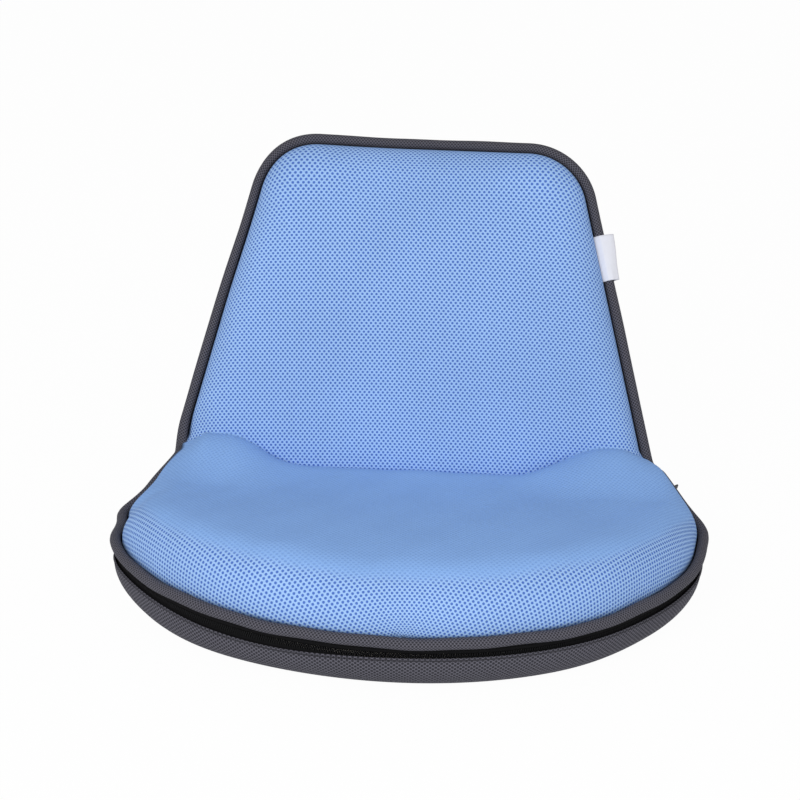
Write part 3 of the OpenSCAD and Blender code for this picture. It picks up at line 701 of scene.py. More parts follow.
def grey_cloth(name="Grey spacer mesh", pitch=0.0036):
    look = bpy.context.scene.floor_chair
    return mesh_cloth(
        name,
        tuple(look.grey),
        tuple(look.grey_hole),
        pitch=pitch,
        row_pitch=pitch * 0.63,
        hole_share=0.3,
        depth=0.0008,
        roughness=0.85,
        sheen=0.2,
    )


# The blue cover: one table of places from the seat's front over the crease to the back's top
CREASE_DROP = 18.0
MOUND_DROP = 3.5
CREASE_ROUND = 34.0
MOUND_H = 19.5
MOUND_LEN = 92.0
MOUND_START = 97.0
MOUND_FLANK_W = 84.0
MOUND_END = 198.0
MOUND_END_W = 38.0
CREASE_HALF_W = 225.0
CORNER_ROLL_W = 27.0
CORNER_LIFT = 7.0
CORNER_LIFT_Y = 98.0
CORNER_LIFT_RUN = 62.0
CORNER_INSET = 1.5
LEFT_LEAN = 12.0

# How many rows and columns it has, and where its rows begin to bend towards the crease
FRONT_ROWS = 66
REAR_ROWS = 44
BACK_ROWS = 96
ACROSS = 121
SEAT_BEND_Y = 40.0
BACK_BEND = 120.0

# How far its edges are tucked in and down next to the piping
TUCK_IN = 3.0
TUCK_DOWN = 7.0
FRONT_TUCK = np.array([0.0, 4.0, -TUCK_DOWN])
DOWN_BACK = TUCK_DOWN * np.array([0.0, ALONG_BACK[1], -ALONG_BACK[0]])


def mound_flank(x):
    """Rises from 0 at the low middle of the crease to 1 on the mounds at its ends."""
    return rising(np.abs(x) + 2 * np.sign(x), MOUND_START, MOUND_FLANK_W)


def mound_share(x):
    """How much of the mound's height a place across the crease has."""
    side = np.sign(x)
    outer = (0.62 - 0.2 * side) * rising(np.abs(x) + 6 * side, MOUND_END, MOUND_END_W)
    return mound_flank(x) * (1 - outer)


def crease_drop(x):
    """How far the crease lies under the covers on both of its sides."""
    low = CREASE_DROP + 4 * np.clip(x / 100, -0.25, 1)
    return mixed(low, MOUND_DROP, mound_flank(x))


def crown_z(y):
    """Height of the seat's middle, from the hinge to the crest near its front."""
    q = np.clip((HINGE_Y - y) / CREST_LEN, 0, 1)
    rise = (CREST_Z - HINGE_Z) * (1 - np.cos(np.pi * q)) / 2
    return HINGE_Z + rise - DISH * np.sin(np.pi * q)


def crease_line(x):
    """Where the seat's and the back's cover meet: distance up the back, and out of its plane."""
    side = round_share((CREASE_HALF_W - np.abs(x)) / CORNER_ROLL_W)
    top = HINGE_Z + MOUND_H * mound_share(x) - crease_drop(x)
    z = mixed(PIPE_CORNER_Z + CORNER_LIFT * 0.4, top, side)
    out = -BACK_PIPE_DEPTH + (BACK_PIPE_DEPTH - 0.5 * crease_drop(x) - 1) * side
    up_back = (z - HINGE_Z - out * ALONG_BACK[0]) / ALONG_BACK[1]
    return up_back, out


def seat_cover_edge():
    """The cover's right edge on the seat, from the front to the crease: place and height."""
    right = seat_right_edge()[::-1]
    ahead = np.linspace(math.radians(89.6), 0, FRONT_ROWS, endpoint=False)
    xs, ys = SEAT_HALF_W * np.cos(ahead), WIDEST_Y - SEAT_FRONT_LEN * np.sin(ahead)
    front = np.stack([xs, ys, np.full(FRONT_ROWS, PIPE_Z)], axis=1)
    end_x = np.array([CREASE_HALF_W])
    end = on_back(end_x, *crease_line(end_x))[0]
    rear = evenly(np.concatenate([right[right[:, 1] >= WIDEST_Y], [end]]), REAR_ROWS)
    edge = np.concatenate([front, rear])
    normal = unit_rows(np.gradient(edge, axis=0) * LEVEL)
    normal = np.stack([normal[:, 1], -normal[:, 0]], axis=1)
    normal[:FRONT_ROWS] = unit_rows(
        np.stack([np.cos(ahead) / SEAT_HALF_W, -np.sin(ahead) / SEAT_FRONT_LEN], axis=1)
    )
    bulge = rising(edge[:, 1], CORNER_LIFT_Y, CORNER_LIFT_RUN)
    near_end = rising(edge[:, 1], HINGE_Y, end[1] - HINGE_Y)
    inset = mixed(mixed(PIPE_EDGE, CORNER_INSET, bulge), 0.0, near_end)
    flat = edge[:, :2] - inset[:, None] * normal
    lift = CORNER_LIFT * bulge * (1 - 0.6 * near_end)
    return flat, edge[:, 2] + lift


def cover_columns():
    """Places across the cover, closer together at its sides, and how far each is tucked in."""
    main = np.sin(np.linspace(-np.pi / 2, np.pi / 2, ACROSS))
    tuck = np.array([1.0, 0.5])
    u = np.concatenate([[-1.0, -1.0], main, [1.0, 1.0]])
    return u, np.concatenate([tuck, np.zeros(ACROSS), tuck[::-1]])


def seat_cover_table(sink=0.0):
    """The seat half of the cover, rows from the front to the crease."""
    flat, z_edge = seat_cover_edge()
    u, tuck = cover_columns()
    line = np.concatenate([flat[::-1], flat[1:] * FLIP[:2]])
    up_back, out = crease_line(u * CREASE_HALF_W)
    crease_y = on_back(u * CREASE_HALF_W, up_back, out)[None, :, 1]
    x = flat[:, :1] * u[None, :]
    rear = np.clip((flat[:, 1:] - SEAT_BEND_Y) / (flat[-1, 1] - SEAT_BEND_Y), 0, None)
    bent = SEAT_BEND_Y + rear * (crease_y - SEAT_BEND_Y)
    y = np.where(flat[:, 1:] > SEAT_BEND_Y, bent, flat[:, 1:])
    ahead = np.maximum(crease_y - y, 0)
    d = distance_to_line(x, y, line)
    front_share = np.clip(WIDEST_Y - y, 0, None) / SEAT_FRONT_LEN
    roll = mixed(SEAT_SIDE_ROLL_W, SEAT_ROLL_W, front_share)
    roll -= (SEAT_SIDE_ROLL_W - CORNER_ROLL_W) * rising(y, 100, 60)
    mound = MOUND_H * mound_share(x) * (1 - rising(ahead, 4, MOUND_LEN))
    top = crown_z(y) + mound - crease_drop(x) * (1 - round_share(ahead / CREASE_ROUND))
    top = top + 0.5 * np.sin(x / 17 + 1) * np.sin(y / 21) + 0.3 * np.sin(x / 9 - y / 13)
    power = 2 + 0.5 * soft_step((WIDEST_Y - y) / 200)
    lift = (top - z_edge[:, None]) * squarer_share(d / roll, power)
    lean = LEFT_LEAN * near(y, 88, 46) * soft_step(lift / 36) * rising(-u, 0.5, 0.4)
    table = np.stack([x + lean, y, z_edge[:, None] + lift - sink], axis=2)
    return table, tuck, np.hypot(d, lift)


def back_cover_edge():
    """The cover's right edge on the back, from the crease up to the middle of the top."""
    up_back, _ = crease_line(np.array([CREASE_HALF_W]))
    right = back_right_edge(22.0)
    along = np.gradient(right, axis=0)
    normal = unit_rows(np.stack([along[:, 1], -along[:, 0]], axis=1))
    flat = (right[:, :2] - PIPE_EDGE * normal)[:-1]
    start = np.array([[CREASE_HALF_W, up_back[0]]])
    return evenly(np.concatenate([start, flat]), BACK_ROWS)


def back_cover_table(sink=0.0):
    """The back half of the cover, rows from the crease to the top, in the back's own plane."""
    flat = back_cover_edge()
    u, _ = cover_columns()
    line = np.concatenate([flat, flat[::-1] * FLIP[:2]])
    low, out = crease_line(u * CREASE_HALF_W)
    x = flat[:, :1] * u[None, :]
    start = flat[0, 1]
    share = np.clip((flat[:, 1:] - start) / (BACK_BEND - start), 0, 1)
    bent = low[None, :] + share * (BACK_BEND - low[None, :])
    up_back = np.where(flat[:, 1:] < BACK_BEND, bent, flat[:, 1:])
    d = distance_to_line(x, up_back, line)
    above = np.maximum(up_back - low[None, :], 0)
    crown = BACK_CROWN * np.sin(np.pi * np.clip(up_back / BACK_LEN, 0, 1))
    sunk = (0.5 * crease_drop(x) + 1) * (1 - round_share(above / CREASE_ROUND))
    uneven = 0.6 * np.sin(x / 19 + 2) * np.sin(up_back / 47) + 0.25 * np.sin(x / 8 + up_back / 23)
    lift = (BACK_PIPE_DEPTH + crown - sunk + uneven) * round_share(d / BACK_ROLL_W)
    depth = lift - BACK_PIPE_DEPTH - sink
    depth[0] = out
    return x, up_back, depth, np.hypot(d, lift)


def tucked(table, tuck, down):
    """Turns the outer columns in under the edge, further where the edge lies high."""
    side = np.sign(table[:, :, 0])
    table[:, :, 0] -= side * tuck[None, :] * TUCK_IN
    high = 1 + 0.55 * rising(table[:, :1, 2], 66, 12) * (table[:, :1, 1] < 175)
    return table + (tuck[None, :] * high)[:, :, None] * down


def cloth_pattern(table, base_row):
    """UVs in metres: along each row from the middle, and along the columns from a base row."""
    mid = table.shape[1] // 2
    steps = np.linalg.norm(np.diff(table, axis=1), axis=2)
    u = np.zeros(table.shape[:2])
    u[:, 1:] = np.cumsum(steps, axis=1)
    u -= u[:, mid : mid + 1]
    run = np.linalg.norm(np.diff(table, axis=0), axis=2)
    slip = np.diff(u, axis=0)
    rise = np.sqrt(np.maximum(run**2 - slip**2, (0.2 * run) ** 2))
    v = np.zeros(table.shape[:2])
    v[1:] = np.cumsum(rise, axis=0)
    v -= v[base_row]
    return np.stack([u, v], axis=2) * MM


def read_uvs(mesh):
    """The UVs of a mesh's weave, one row for each face corner."""
    uvs = np.empty(len(mesh.loops) * 2)
    mesh.uv_layers["weave"].uv.foreach_get("vector", uvs)
    return uvs.reshape(-1, 2)


def lay_weave_flat(piece):
    """Unfolds the cover's two panels with little stretch and sets them square, at real size."""
    mesh = piece.data
    rough = read_uvs(mesh)
    bpy.context.view_layer.objects.active = piece
    piece.select_set(True)
    bpy.ops.object.mode_set(mode="EDIT")
    bpy.ops.mesh.select_all(action="SELECT")
    bpy.ops.uv.unwrap(method="ANGLE_BASED", margin=0.01)
    bpy.ops.object.mode_set(mode="OBJECT")
    piece.select_set(False)
    flat = read_uvs(mesh)
    on_seat = rough[:, 1].reshape(-1, 4).mean(axis=1) < 0
    area = np.empty(len(mesh.polygons))
    mesh.polygons.foreach_get("area", area)
    for panel in (on_seat, ~on_seat):
        loops = np.repeat(panel, 4)
        a, b = flat[loops], rough[loops]
        quads = a.reshape(-1, 4, 2)
        p, q = quads[:, 2] - quads[:, 0], quads[:, 3] - quads[:, 1]
        flat_area = 0.5 * np.abs(p[:, 0] * q[:, 1] - p[:, 1] * q[:, 0]).sum()
        scale = math.sqrt(area[panel].sum() / flat_area)
        a_mid, b_mid = a.mean(axis=0), b.mean(axis=0)
        u, _, vt = np.linalg.svd((a - a_mid).T @ (b - b_mid))
        flat[loops] = (a - a_mid) @ (u @ vt) * scale + b_mid
    mesh.uv_layers["weave"].uv.foreach_set("vector", flat.ravel())


def level_share(table):
    """1 where a table's surface lies level, 0 where it stands upright."""
    normal = unit_rows(np.cross(np.gradient(table, axis=1), np.gradient(table, axis=0)))
    return np.abs(normal[:, :, 2])


def blue_cover():
    """The blue mesh cover, one panel over seat, crease and back."""
    seat_table, tuck, seat_d = seat_cover_table()
    x, up_back, depth, back_d = back_cover_table()
    # Seam: painted shade along the cover's edge, in the gap next to the piping and on the tucked ends
    seam = np.concatenate([soft_step(1.3 - seat_d / 4.5), soft_step(1.3 - back_d / 5.5)[1:]])
    seat_table = tucked(seat_table, tuck, -TUCK_DOWN * UP)
    back_table = tucked(on_back(x, up_back, depth), tuck, DOWN_BACK)
    front_tuck = seat_table[:1] + FRONT_TUCK
    top_tuck = back_table[-1:] + DOWN_BACK - TUCK_IN * np.array([0, *ALONG_BACK])
    table = np.concatenate([front_tuck, seat_table, back_table[1:], top_tuck])
    end = np.ones((1, seam.shape[1]))
    seam = np.concatenate([end, seam, end])
    crease_row = len(seat_table)
    rear = rising(table[:, :, 1], 10, 90)
    # Pressed mark: the seat's level places get fewer open holes and a darker tint, which is pressed pile
    # and painted shade on the top
    pressed_and_shaded = rising(level_share(table) + 0.3 * rear, 0.74, 0.2)
    pressed_and_shaded[crease_row + 1 :] = 0
    bm = table_grid(table, cloth_pattern(table, crease_row), {"seam": seam, "pressed_and_shaded": pressed_and_shaded})
    crease_v = {tuple(np.round(p * MM, 6)) for p in settle(table)[crease_row]}
    for edge in bm.edges:
        edge.seam = all(tuple(np.round(v.co, 6)) in crease_v for v in edge.verts)
    piece = smooth_piece("blue_cover", bm, blue_cloth())
    lay_weave_flat(piece)
    give_thickness(piece, "Mesh thickness", COVER_T)
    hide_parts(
        "seat_top_cover",
        "crease_roll",
        "hinge_end_pad_left",
        "hinge_end_pad_right",
        "back_front_cover",
    )
    turn_with_back(piece)


# The middle of the hinge; pieces that cross it are baked where they stand and do not turn with the back
HINGE = Vector((0, HINGE_Y * MM, HINGE_Z * MM))


def turn_with_back(piece):
    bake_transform(piece)


# The foam under the cover: how far below it, which of its columns, and the depth of each pad
PAD_UNDER = COVER_T + 0.6
PAD_COLUMNS = slice(6, -6, 4)
SEAT_PAD_ROWS = slice(4, -7, 4)
BACK_PAD_ROWS = slice(7, -9, 4)
SEAT_PAD_LOW = 23.0
BACK_PAD_LOW = -17.0

# The pads' widths as shares of the cover's, and how far the seat's keeps back from its front
SEAT_PAD_W = 0.97
SEAT_PAD_LOW_W = 0.93
SEAT_PAD_BACK_OFF = 0.035
BACK_PAD_W = 0.95


def foam_pad(name, top, low, node, body):
    """A foam pad between two tables of places."""
    ring = ring_of(top, low)
    pad = closed_piece(name, ring, length_pattern(ring), foam_finish("Foam"))
    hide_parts(node)
    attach(pad, body)


def foam_pads():
    """Foam inside the seat and inside the back, under the cover and short of the crease."""
    top = seat_cover_table(PAD_UNDER)[0][SEAT_PAD_ROWS, PAD_COLUMNS].copy()
    top[:, :, 0] *= SEAT_PAD_W
    top[:, :, 1] -= SEAT_PAD_BACK_OFF * np.minimum(top[:, :, 1] - WIDEST_Y, 0)
    top[:, :, 2] = np.maximum(top[:, :, 2] - 2.0, SEAT_PAD_LOW + 1)
    low = top * np.array([SEAT_PAD_LOW_W, 1.0, 0.0]) + SEAT_PAD_LOW * UP
    foam_pad("seat_foam_pad", top, low, "seat_foam", "seat")
    x, up_back, depth = (a[BACK_PAD_ROWS, PAD_COLUMNS] for a in back_cover_table(PAD_UNDER)[:3])
    face = on_back(x * BACK_PAD_W, up_back, np.maximum(depth, BACK_PAD_LOW + 1))
    rear = on_back(x * BACK_PAD_W, up_back, np.full(x.shape, BACK_PAD_LOW))
    foam_pad("back_foam_pad", face, rear, "back_foam", "back")


# Piping: one round padded tube that runs round the seat, up at the corners and round the back
PIPING_ROWS = 561
PIPING_SIDES = 17
PIPING_R = 5.0
PIPING_FOOT = 12.0


def curve_between(a, a_way, b, b_way, reach, count):
    """Places on a smooth curve from a to b that leaves and arrives in the given directions."""
    t = np.linspace(0, 1, count)[:, None]
    p, q = a + a_way * reach, b - b_way * reach
    return (1 - t) ** 3 * a + 3 * t * (1 - t) ** 2 * p + 3 * t * t * (1 - t) * q + t**3 * b


def piping_loop():
    """Places and two directions across, along the whole closed piping."""
    seat = both_halves(seat_right_edge())
    back = on_back(*both_halves(back_right_edge(PIPING_FOOT))[::-1].T)
    seat_in = unit_rows(seat[-1:] - seat[-2:-1])[0]
    back_in = unit_rows(back[1:2] - back[:1])[0]
    left = curve_between(seat[-1], seat_in, back[0], back_in, 9.0, 14)
    right = left[::-1] * FLIP
    loop = evenly(np.concatenate([seat, left[1:-1], back, right[1:-1], seat[:1]]), PIPING_ROWS)
    seat_middle = np.array([[0, 40.0, 60.0]])
    back_middle = on_back(np.zeros(1), np.full(1, 130.0), np.full(1, -BACK_PIPE_DEPTH))
    middle = mixed(seat_middle, back_middle, rising(loop[:, 1], 150, 60)[:, None])
    along = np.roll(loop, -1, axis=0) - np.roll(loop, 1, axis=0)
    along[0] = along[-1] = loop[1] - loop[-2]
    along = unit_rows(along)
    out = loop - middle
    out = unit_rows(out - (out * along).sum(axis=1, keepdims=True) * along)
    return loop, out, np.cross(along, out)


def piping():
    """The grey mesh piping, which wanders a little and is not of quite the same thickness all along."""
    loop, out, up = piping_loop()
    around = np.linspace(0, 2 * np.pi, PIPING_SIDES)
    run = lengths_along(loop)
    share = run / run[-1] * 2 * np.pi
    radius = PIPING_R * (1 + 0.02 * np.sin(9 * share) + 0.015 * np.sin(23 * share + 1))
    loop = loop + (0.5 * np.sin(14 * share + 2) + 0.35 * np.sin(31 * share))[:, None] * up
    way = np.cos(around)[None, :, None] * out[:, None, :] + np.sin(around)[None, :, None] * up[:, None, :]
    table = loop[:, None, :] + radius[:, None, None] * way
    pattern = np.stack(np.meshgrid(run, around * PIPE_R, indexing="ij"), axis=2) * MM
    piece = closed_piece("piping", table, pattern, grey_cloth("Piping mesh", 0.0031))
    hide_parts("seat_piping", "back_piping")
    turn_with_back(piece)


# The seat's outer walls
LIP_RISE = 6.6
LIP_LEFT_DROP = 5.2
BAND_LIP = ((-1.6, -2.0), (-0.6, -0.4), (0.0, 0.0))


def band_lip(points):
    """How far the side band's lip rises over the zipper's lower half, least at the left front."""
    front = soft_step((WIDEST_Y + 40 - points[:, 1]) / 130)
    return front * (LIP_RISE - LIP_LEFT_DROP * near(points[:, 0], -135, 85))


def side_band_table():
    """Rows along the seat's edge, columns from under the zipper in to the bottom panel."""
    points, out = seat_edge(WALL_ROWS)
    rise = band_lip(points)
    top = points[:, 2] - ZIP_LOW - 0.3 + rise
    proud = 1.3 * soft_step(rise / 3)[:, None]
    base = points * LEVEL
    cols = [base + (n + proud) * out + (top + h)[:, None] * UP for n, h in BAND_LIP]
    full = 1 + 0.7 * near(points[:, 0], -190, 70) * near(points[:, 1], -90, 80)
    for turn in np.linspace(0, np.pi / 2, 17)[1:]:
        inward = (-BAND_TUCK * (1 - math.cos(turn)) ** full)[:, None]
        height = (1 - math.sin(turn)) * top
        swell = 1.6 * math.sin(2 * turn)
        cols.append(base + (inward + swell + proud * (1 - math.sin(turn))) * out + height[:, None] * UP)
    return np.stack(cols, axis=1)


def cloth_wall(name, table, node, marks=None, turned=False):
    """A sewn wall of grey mesh, with its thickness inside the given places."""
    bm = table_grid(table, length_pattern(table), marks)
    if turned:
        bmesh.ops.reverse_faces(bm, faces=bm.faces)
    piece = smooth_piece(name, bm, grey_cloth())
    give_thickness(piece, "Cloth thickness", BAND_T)
    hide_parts(node)
    return piece


def seat_side_band():
    """The grey mesh wall that curves under the seat, with painted shade along its top where it lies under
    the zipper.
    """
    table = side_band_table()
    # Painted shade on the top two columns, where the band lies in the recess under the zipper
    seam = np.zeros(table.shape[:2])
    seam[:, :2] = 0.6
    band = cloth_wall(
        "seat_side_band_cloth",
        table,
        "seat_side_band",
        marks={"seam": seam},
        turned=True,
    )
    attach(band, "seat")


def seat_bottom_panel():
    """The flat face that rests on the floor."""
    points, out = seat_edge(PANEL_ROWS)
    flat = rows_between(points - (BAND_TUCK - 0.6) * out)[:-1][::-1]
    low = flat * LEVEL
    ring = ring_of(low + BAND_T * UP, low)
    piece = closed_piece("seat_bottom_cloth", ring, ring[:, :, :2] * MM, grey_cloth())
    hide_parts("seat_bottom_panel")
    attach(piece, "seat")


# The back's outer walls
BACK_BAND_TUCK = 14.0
BACK_BAND_DROP = BACK_DEPTH - BACK_PIPE_DEPTH - PIPE_EDGE
BACK_SWELL = 2.5


def back_wall_place(points, out, turn):
    """Where the wall round the back's edge lies at a turn, from 0 at its side to its rear."""
    low = PIPE_EDGE + BACK_BAND_DROP * math.sin(turn)
    return points - BACK_BAND_TUCK * (1 - math.cos(turn)) * out - low * UP


def back_side_band():
    """The grey wall from behind the back's piping in to the rear panel."""
    points, out = back_edge(BACK_WALL_ROWS)
    cols = [back_wall_place(points, out, -0.35) - 1.2 * out]
    cols += [back_wall_place(points, out, turn) for turn in np.linspace(0, np.pi / 2, 11)]
    table = on_back(*np.moveaxis(np.stack(cols, axis=1), 2, 0))
    band = cloth_wall("back_side_band_cloth", table, "back_side_band")
    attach(band, "back")


def back_rear_panel():
    """The grey panel over the back's rear."""
    points, out = back_edge(PANEL_ROWS)
    inner = points - (BACK_BAND_TUCK - 0.4) * out
    flat = rows_between(inner)
    x, up_back = flat[:, :, 0], flat[:, :, 1]
    swell = BACK_SWELL * soft_step(distance_to_line(x, up_back, inner[:, :2]) / 70)
    rear = on_back(x, up_back, -BACK_DEPTH - swell)
    face = on_back(x, up_back, -BACK_DEPTH - swell + BAND_T)
    pattern = ring_of(flat, flat)[:, :, :2] * MM
    piece = closed_piece("back_rear_cloth", ring_of(face, rear), pattern, grey_cloth())
    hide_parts("back_rear_panel")
    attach(piece, "back")


# The cloth behind the hinge
GUSSET_COLUMNS = 97
GUSSET_ROWS = 25
GUSSET_LAP = 3.0
GUSSET_UNDER = 4.0
GUSSET_BOW = (6.0, 18.0)
GUSSET_WAY = np.array([0, 0.87, -0.5])


def spine_gusset():
    """The grey cloth behind the hinge, from the seat's rear edge to the back's lower edge."""
    turns = np.linspace(0, np.pi / 2, 13)
    points, out = seat_edge(WALL_ROWS)
    corner, away = points[0], out[0]
    ahead = unit_rows((points[2] - corner) * LEVEL)
    seat_side = []
    for turn in turns:
        height = (corner[2] - ZIP_TOP) * (1 - math.sin(turn))
        inward = BAND_TUCK * (1 - math.cos(turn)) + GUSSET_LAP * math.cos(turn)
        under = GUSSET_UNDER * soft_step((54 - height) / 10)
        seat_side.append(corner * LEVEL - inward * away + under * ahead + height * UP)
    seat_side = np.stack(seat_side)
    points, out = back_edge(BACK_WALL_ROWS)
    arc = np.stack([back_wall_place(points[0], out[0], turn) for turn in turns])
    start_x = BACK_HALF_W - PIPING_FOOT * math.tan(BACK_TAPER) - 1.5
    start = np.array([start_x, PIPING_FOOT, -BACK_PIPE_DEPTH - PIPE_R + 1])
    lead = evenly(np.stack([start, arc[0]]), 5)
    back_side = on_back(*evenly(np.concatenate([lead[:-1], arc]), 13).T)
    low = evenly(np.concatenate([seat_side, seat_side[::-1] * FLIP]), GUSSET_COLUMNS)
    high = evenly(np.concatenate([back_side, back_side[::-1] * FLIP]), GUSSET_COLUMNS)
    t = np.linspace(0, 1, GUSSET_ROWS)[:, None, None]
    inner = soft_step((1 - np.abs(np.linspace(-1, 1, GUSSET_COLUMNS))) / 0.35)[None, :, None]
    table = mixed(low[None], high[None], t) + np.sin(np.pi * t) * mixed(*GUSSET_BOW, inner) * GUSSET_WAY
    turn_with_back(cloth_wall("spine_gusset_cloth", table, "spine_gusset"))


# Zipper: tapes, teeth and stops in millimetres
TAPE_GAP = 2.4
TAPE_TAIL = 6.0
TOOTH_PITCH = 2.1
TOOTH_SIZE = (1.9, 1.15, 2.3)
STOP_SIZE = (2.2, 2.0, 3.4)
STOP_BEVEL = 0.4
CHAIN_DEPTH = 2.0


def zipper_strip(name, drop_top, drop_low, node, tail=0.0):
    """One of the two tapes; the lower one's tail reaches down behind the side band."""
    points, out = seat_edge(WALL_ROWS)
    outside = [(-1.4, drop_top), (-1.1, (drop_top + drop_low) / 2), (-1.4, drop_low)]
    hidden = [(-2.4, drop_low + tail), (-3.4, drop_low + tail)] if tail else []
    section = outside + hidden + [(-2.6, drop_low), (-2.6, drop_top), outside[0]]
    table = np.stack([points + n * out - drop * UP for n, drop in section], axis=1)
    cloth = tape_cloth("Zipper tape", (0.006, 0.006, 0.007), 0.0011, 0.0007, 0.0003, 0.9)
    piece = closed_piece(name, table, length_pattern(table), cloth)
    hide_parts(node)
    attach(piece, "seat")


def set_block(bm, place, away, drop, size):
    """Adds a small block on the zipper, square to it, at a drop below the edge; sizes in mm."""
    made = bmesh.ops.create_cube(bm, size=1.0)
    turn = Matrix((away, np.cross(UP, away), UP)).transposed().to_4x4()
    scale = Matrix.Diagonal((*(s * MM for s in size), 1))
    where = Matrix.Translation(Vector((place - CHAIN_DEPTH * away - drop * UP) * MM))
    bmesh.ops.transform(bm, matrix=where @ turn @ scale, verts=made["verts"])


def chain_piece(name, bm, material, node):
    """Turns the blocks of a bmesh into a hard piece on the seat."""
    piece = fill_mesh(name, bm, material)
    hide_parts(node)
    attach(piece, "seat")


def zipper_teeth(name, drop, node, phase):
    """A row of small moulded teeth along the tape's edge."""
    points, out = seat_edge(TOOTH_ROWS)
    run = lengths_along(points)
    at = (np.arange(int(run[-1] / TOOTH_PITCH)) + 0.5 + phase) * TOOTH_PITCH
    at = at[at < run[-1] - 1]
    bm = bmesh.new()
    for place, away in zip(settle(at_lengths(points, run, at)), unit_rows(at_lengths(out, run, at))):
        set_block(bm, place, away, drop, TOOTH_SIZE)
    nylon = hard_finish("Zipper teeth", (0.007, 0.007, 0.008), 0.8, grain=600.0, specular=0.12)
    chain_piece(name, bm, nylon, node)


def zipper_stops(drop):
    """The two metal crimps at the zipper's ends."""
    points, out = seat_edge(TOOTH_ROWS)
    bm = bmesh.new()
    for k in (1, -2):
        set_block(bm, settle(points[k]), out[k], drop, STOP_SIZE)
    bmesh.ops.bevel(
        bm,
        geom=bm.edges[:],
        offset=STOP_BEVEL * MM,
        segments=2,
        profile=0.5,
        affect="EDGES",
        material=-1,
    )
    metal = hard_finish("Stop metal", (0.3, 0.3, 0.32), 0.35, metallic=1.0, grain=300.0)
    chain_piece("zipper_stop_crimps", bm, metal, "zipper_end_stops")


def zipper():
    mid = ZIP_TOP + ZIP_W / 2
    tooth_row = TOOTH_SIZE[2] / 2
    zipper_strip("zipper_tape_upper_cloth", ZIP_TOP, mid - TAPE_GAP, "zipper_tape_upper")
    zipper_strip("zipper_tape_lower_cloth", mid + TAPE_GAP, ZIP_LOW, "zipper_tape_lower", TAPE_TAIL)
    zipper_teeth("zipper_teeth_upper_row", mid - tooth_row, "zipper_teeth_upper", 0.0)
    zipper_teeth("zipper_teeth_lower_row", mid + tooth_row, "zipper_teeth_lower", 0.5)
    zipper_stops(mid)


def dress_node(node, material):
    """Gives a CAD node a finish of its own."""
    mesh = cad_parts[node].data
    mesh.materials.clear()
    mesh.materials.append(material)


def slider_finishes():
    """Gloss black on the slider, bright wire for the bail and plastic for the pull."""
    gloss = hard_finish("Gloss black metal", (0.02, 0.02, 0.022), 0.25, metallic=0.6, grain=500.0, coat=0.3)
    dress_node("zipper_slider", gloss)
    wire = hard_finish("Bright wire", (0.72, 0.72, 0.74), 0.2, metallic=1.0, grain=300.0)
    dress_node("zipper_bail", wire)
    dress_node("zipper_pull", hard_finish("Pull plastic", (0.02, 0.02, 0.022), 0.45, grain=700.0))


def frame_finishes():
    """Powder coat on the steel, plastic washers."""
    names = ["seat_frame_tube", "seat_cross_tube", "back_frame_tube", "back_cross_tube"]
    names += ["seat_frame_rivets", "back_frame_rivets"]
    for part in ("hinge_seat_plate", "hinge_back_plate", "hinge_pin", "hinge_click_spring"):
        names += [f"{part}_left", f"{part}_right"]
    steel = hard_finish("Powder coated steel", (0.05, 0.05, 0.055), 0.42, metallic=0.2, grain=1400.0)
    for node in names:
        dress_node(node, steel)
    dress_node("hinge_washers", hard_finish("Washer plastic", (0.6, 0.6, 0.58), 0.5))


def frame_straps():
    """The webbing straps over the tubes."""
    webbing = tape_cloth("Webbing", (0.03, 0.03, 0.033), 0.0016, 0.0022, 0.0004, 0.75)
    for node in ("seat_support_straps", "back_support_straps"):
        dress_node(node, webbing)


# The side tag: how far up the back its middle lies, and its sizes in millimetres
TAG_AT = 207.5
TAG_HALF_LEN = 22.5
TAG_REACH = 6.2
TAG_T = 0.5


def label_tag():
    """A plain white ribbon folded over the back's right piping."""
    side = BACK_HALF_W - TAG_AT * math.tan(BACK_TAPER)
    gap, outer = PIPE_EDGE, TAG_REACH
    shape = [(-gap - 2.5, 1.5), (-gap * 0.6, gap * 0.75), (0.0, gap + 0.3), (gap * 0.75, gap * 0.88)]
    shape += [(gap + outer * 0.35, gap * 0.6), (gap + outer * 0.75, gap * 0.3), (gap + outer - 0.2, 0.6)]
    shape += [(gap + outer, 0.0), (gap + outer - 0.6, -0.62), (gap + outer * 0.5, -0.9)]
    shape += [(gap, -gap * 0.7), (0.4, -gap - 0.3)]
    line = evenly(np.array(shape), 41)
    loose = soft_step((line[:, 0] - gap * 0.5) / outer)
    c, s = math.cos(BACK_TAPER), math.sin(BACK_TAPER)
    rows = []
    for y in np.linspace(-TAG_HALF_LEN, TAG_HALF_LEN, 25):
        across = line[:, 0] + loose * (1.8 * y / TAG_HALF_LEN + 0.3 * np.sin(y / 7))
        x, up_back = side + across * c - y * s, TAG_AT + across * s + y * c
        rows.append(on_back(x, up_back, -BACK_PIPE_DEPTH + line[:, 1]))
    table = np.stack(rows)
    cloth = tape_cloth("White ribbon", (0.8, 0.81, 0.88), 0.0009, 0.0006, 0.0001, 0.6, dark=0.95)
    bm = table_grid(table, length_pattern(table))
    piece = smooth_piece("label_ribbon", bm, cloth)
    give_thickness(piece, "Ribbon thickness", TAG_T, offset=0.0)
    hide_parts("label_tag")
    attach(piece, "back")


# Stage
CAMERA_RISE = math.radians(20)
CAMERA_FAR = 2.25
CAMERA_LENS = 106.82
CAMERA_ROLL = math.radians(-1.9)
CAMERA_YAW = math.radians(0.8)
HINGE_PIXEL = (412.0, 462.0)
PIXELS_PER_VIEW = 800.0
SENSOR = 36.0
FLOOR_Z = -0.0004
FLOOR_GLOW = 0.97
WORLD_LIGHT = 0.48


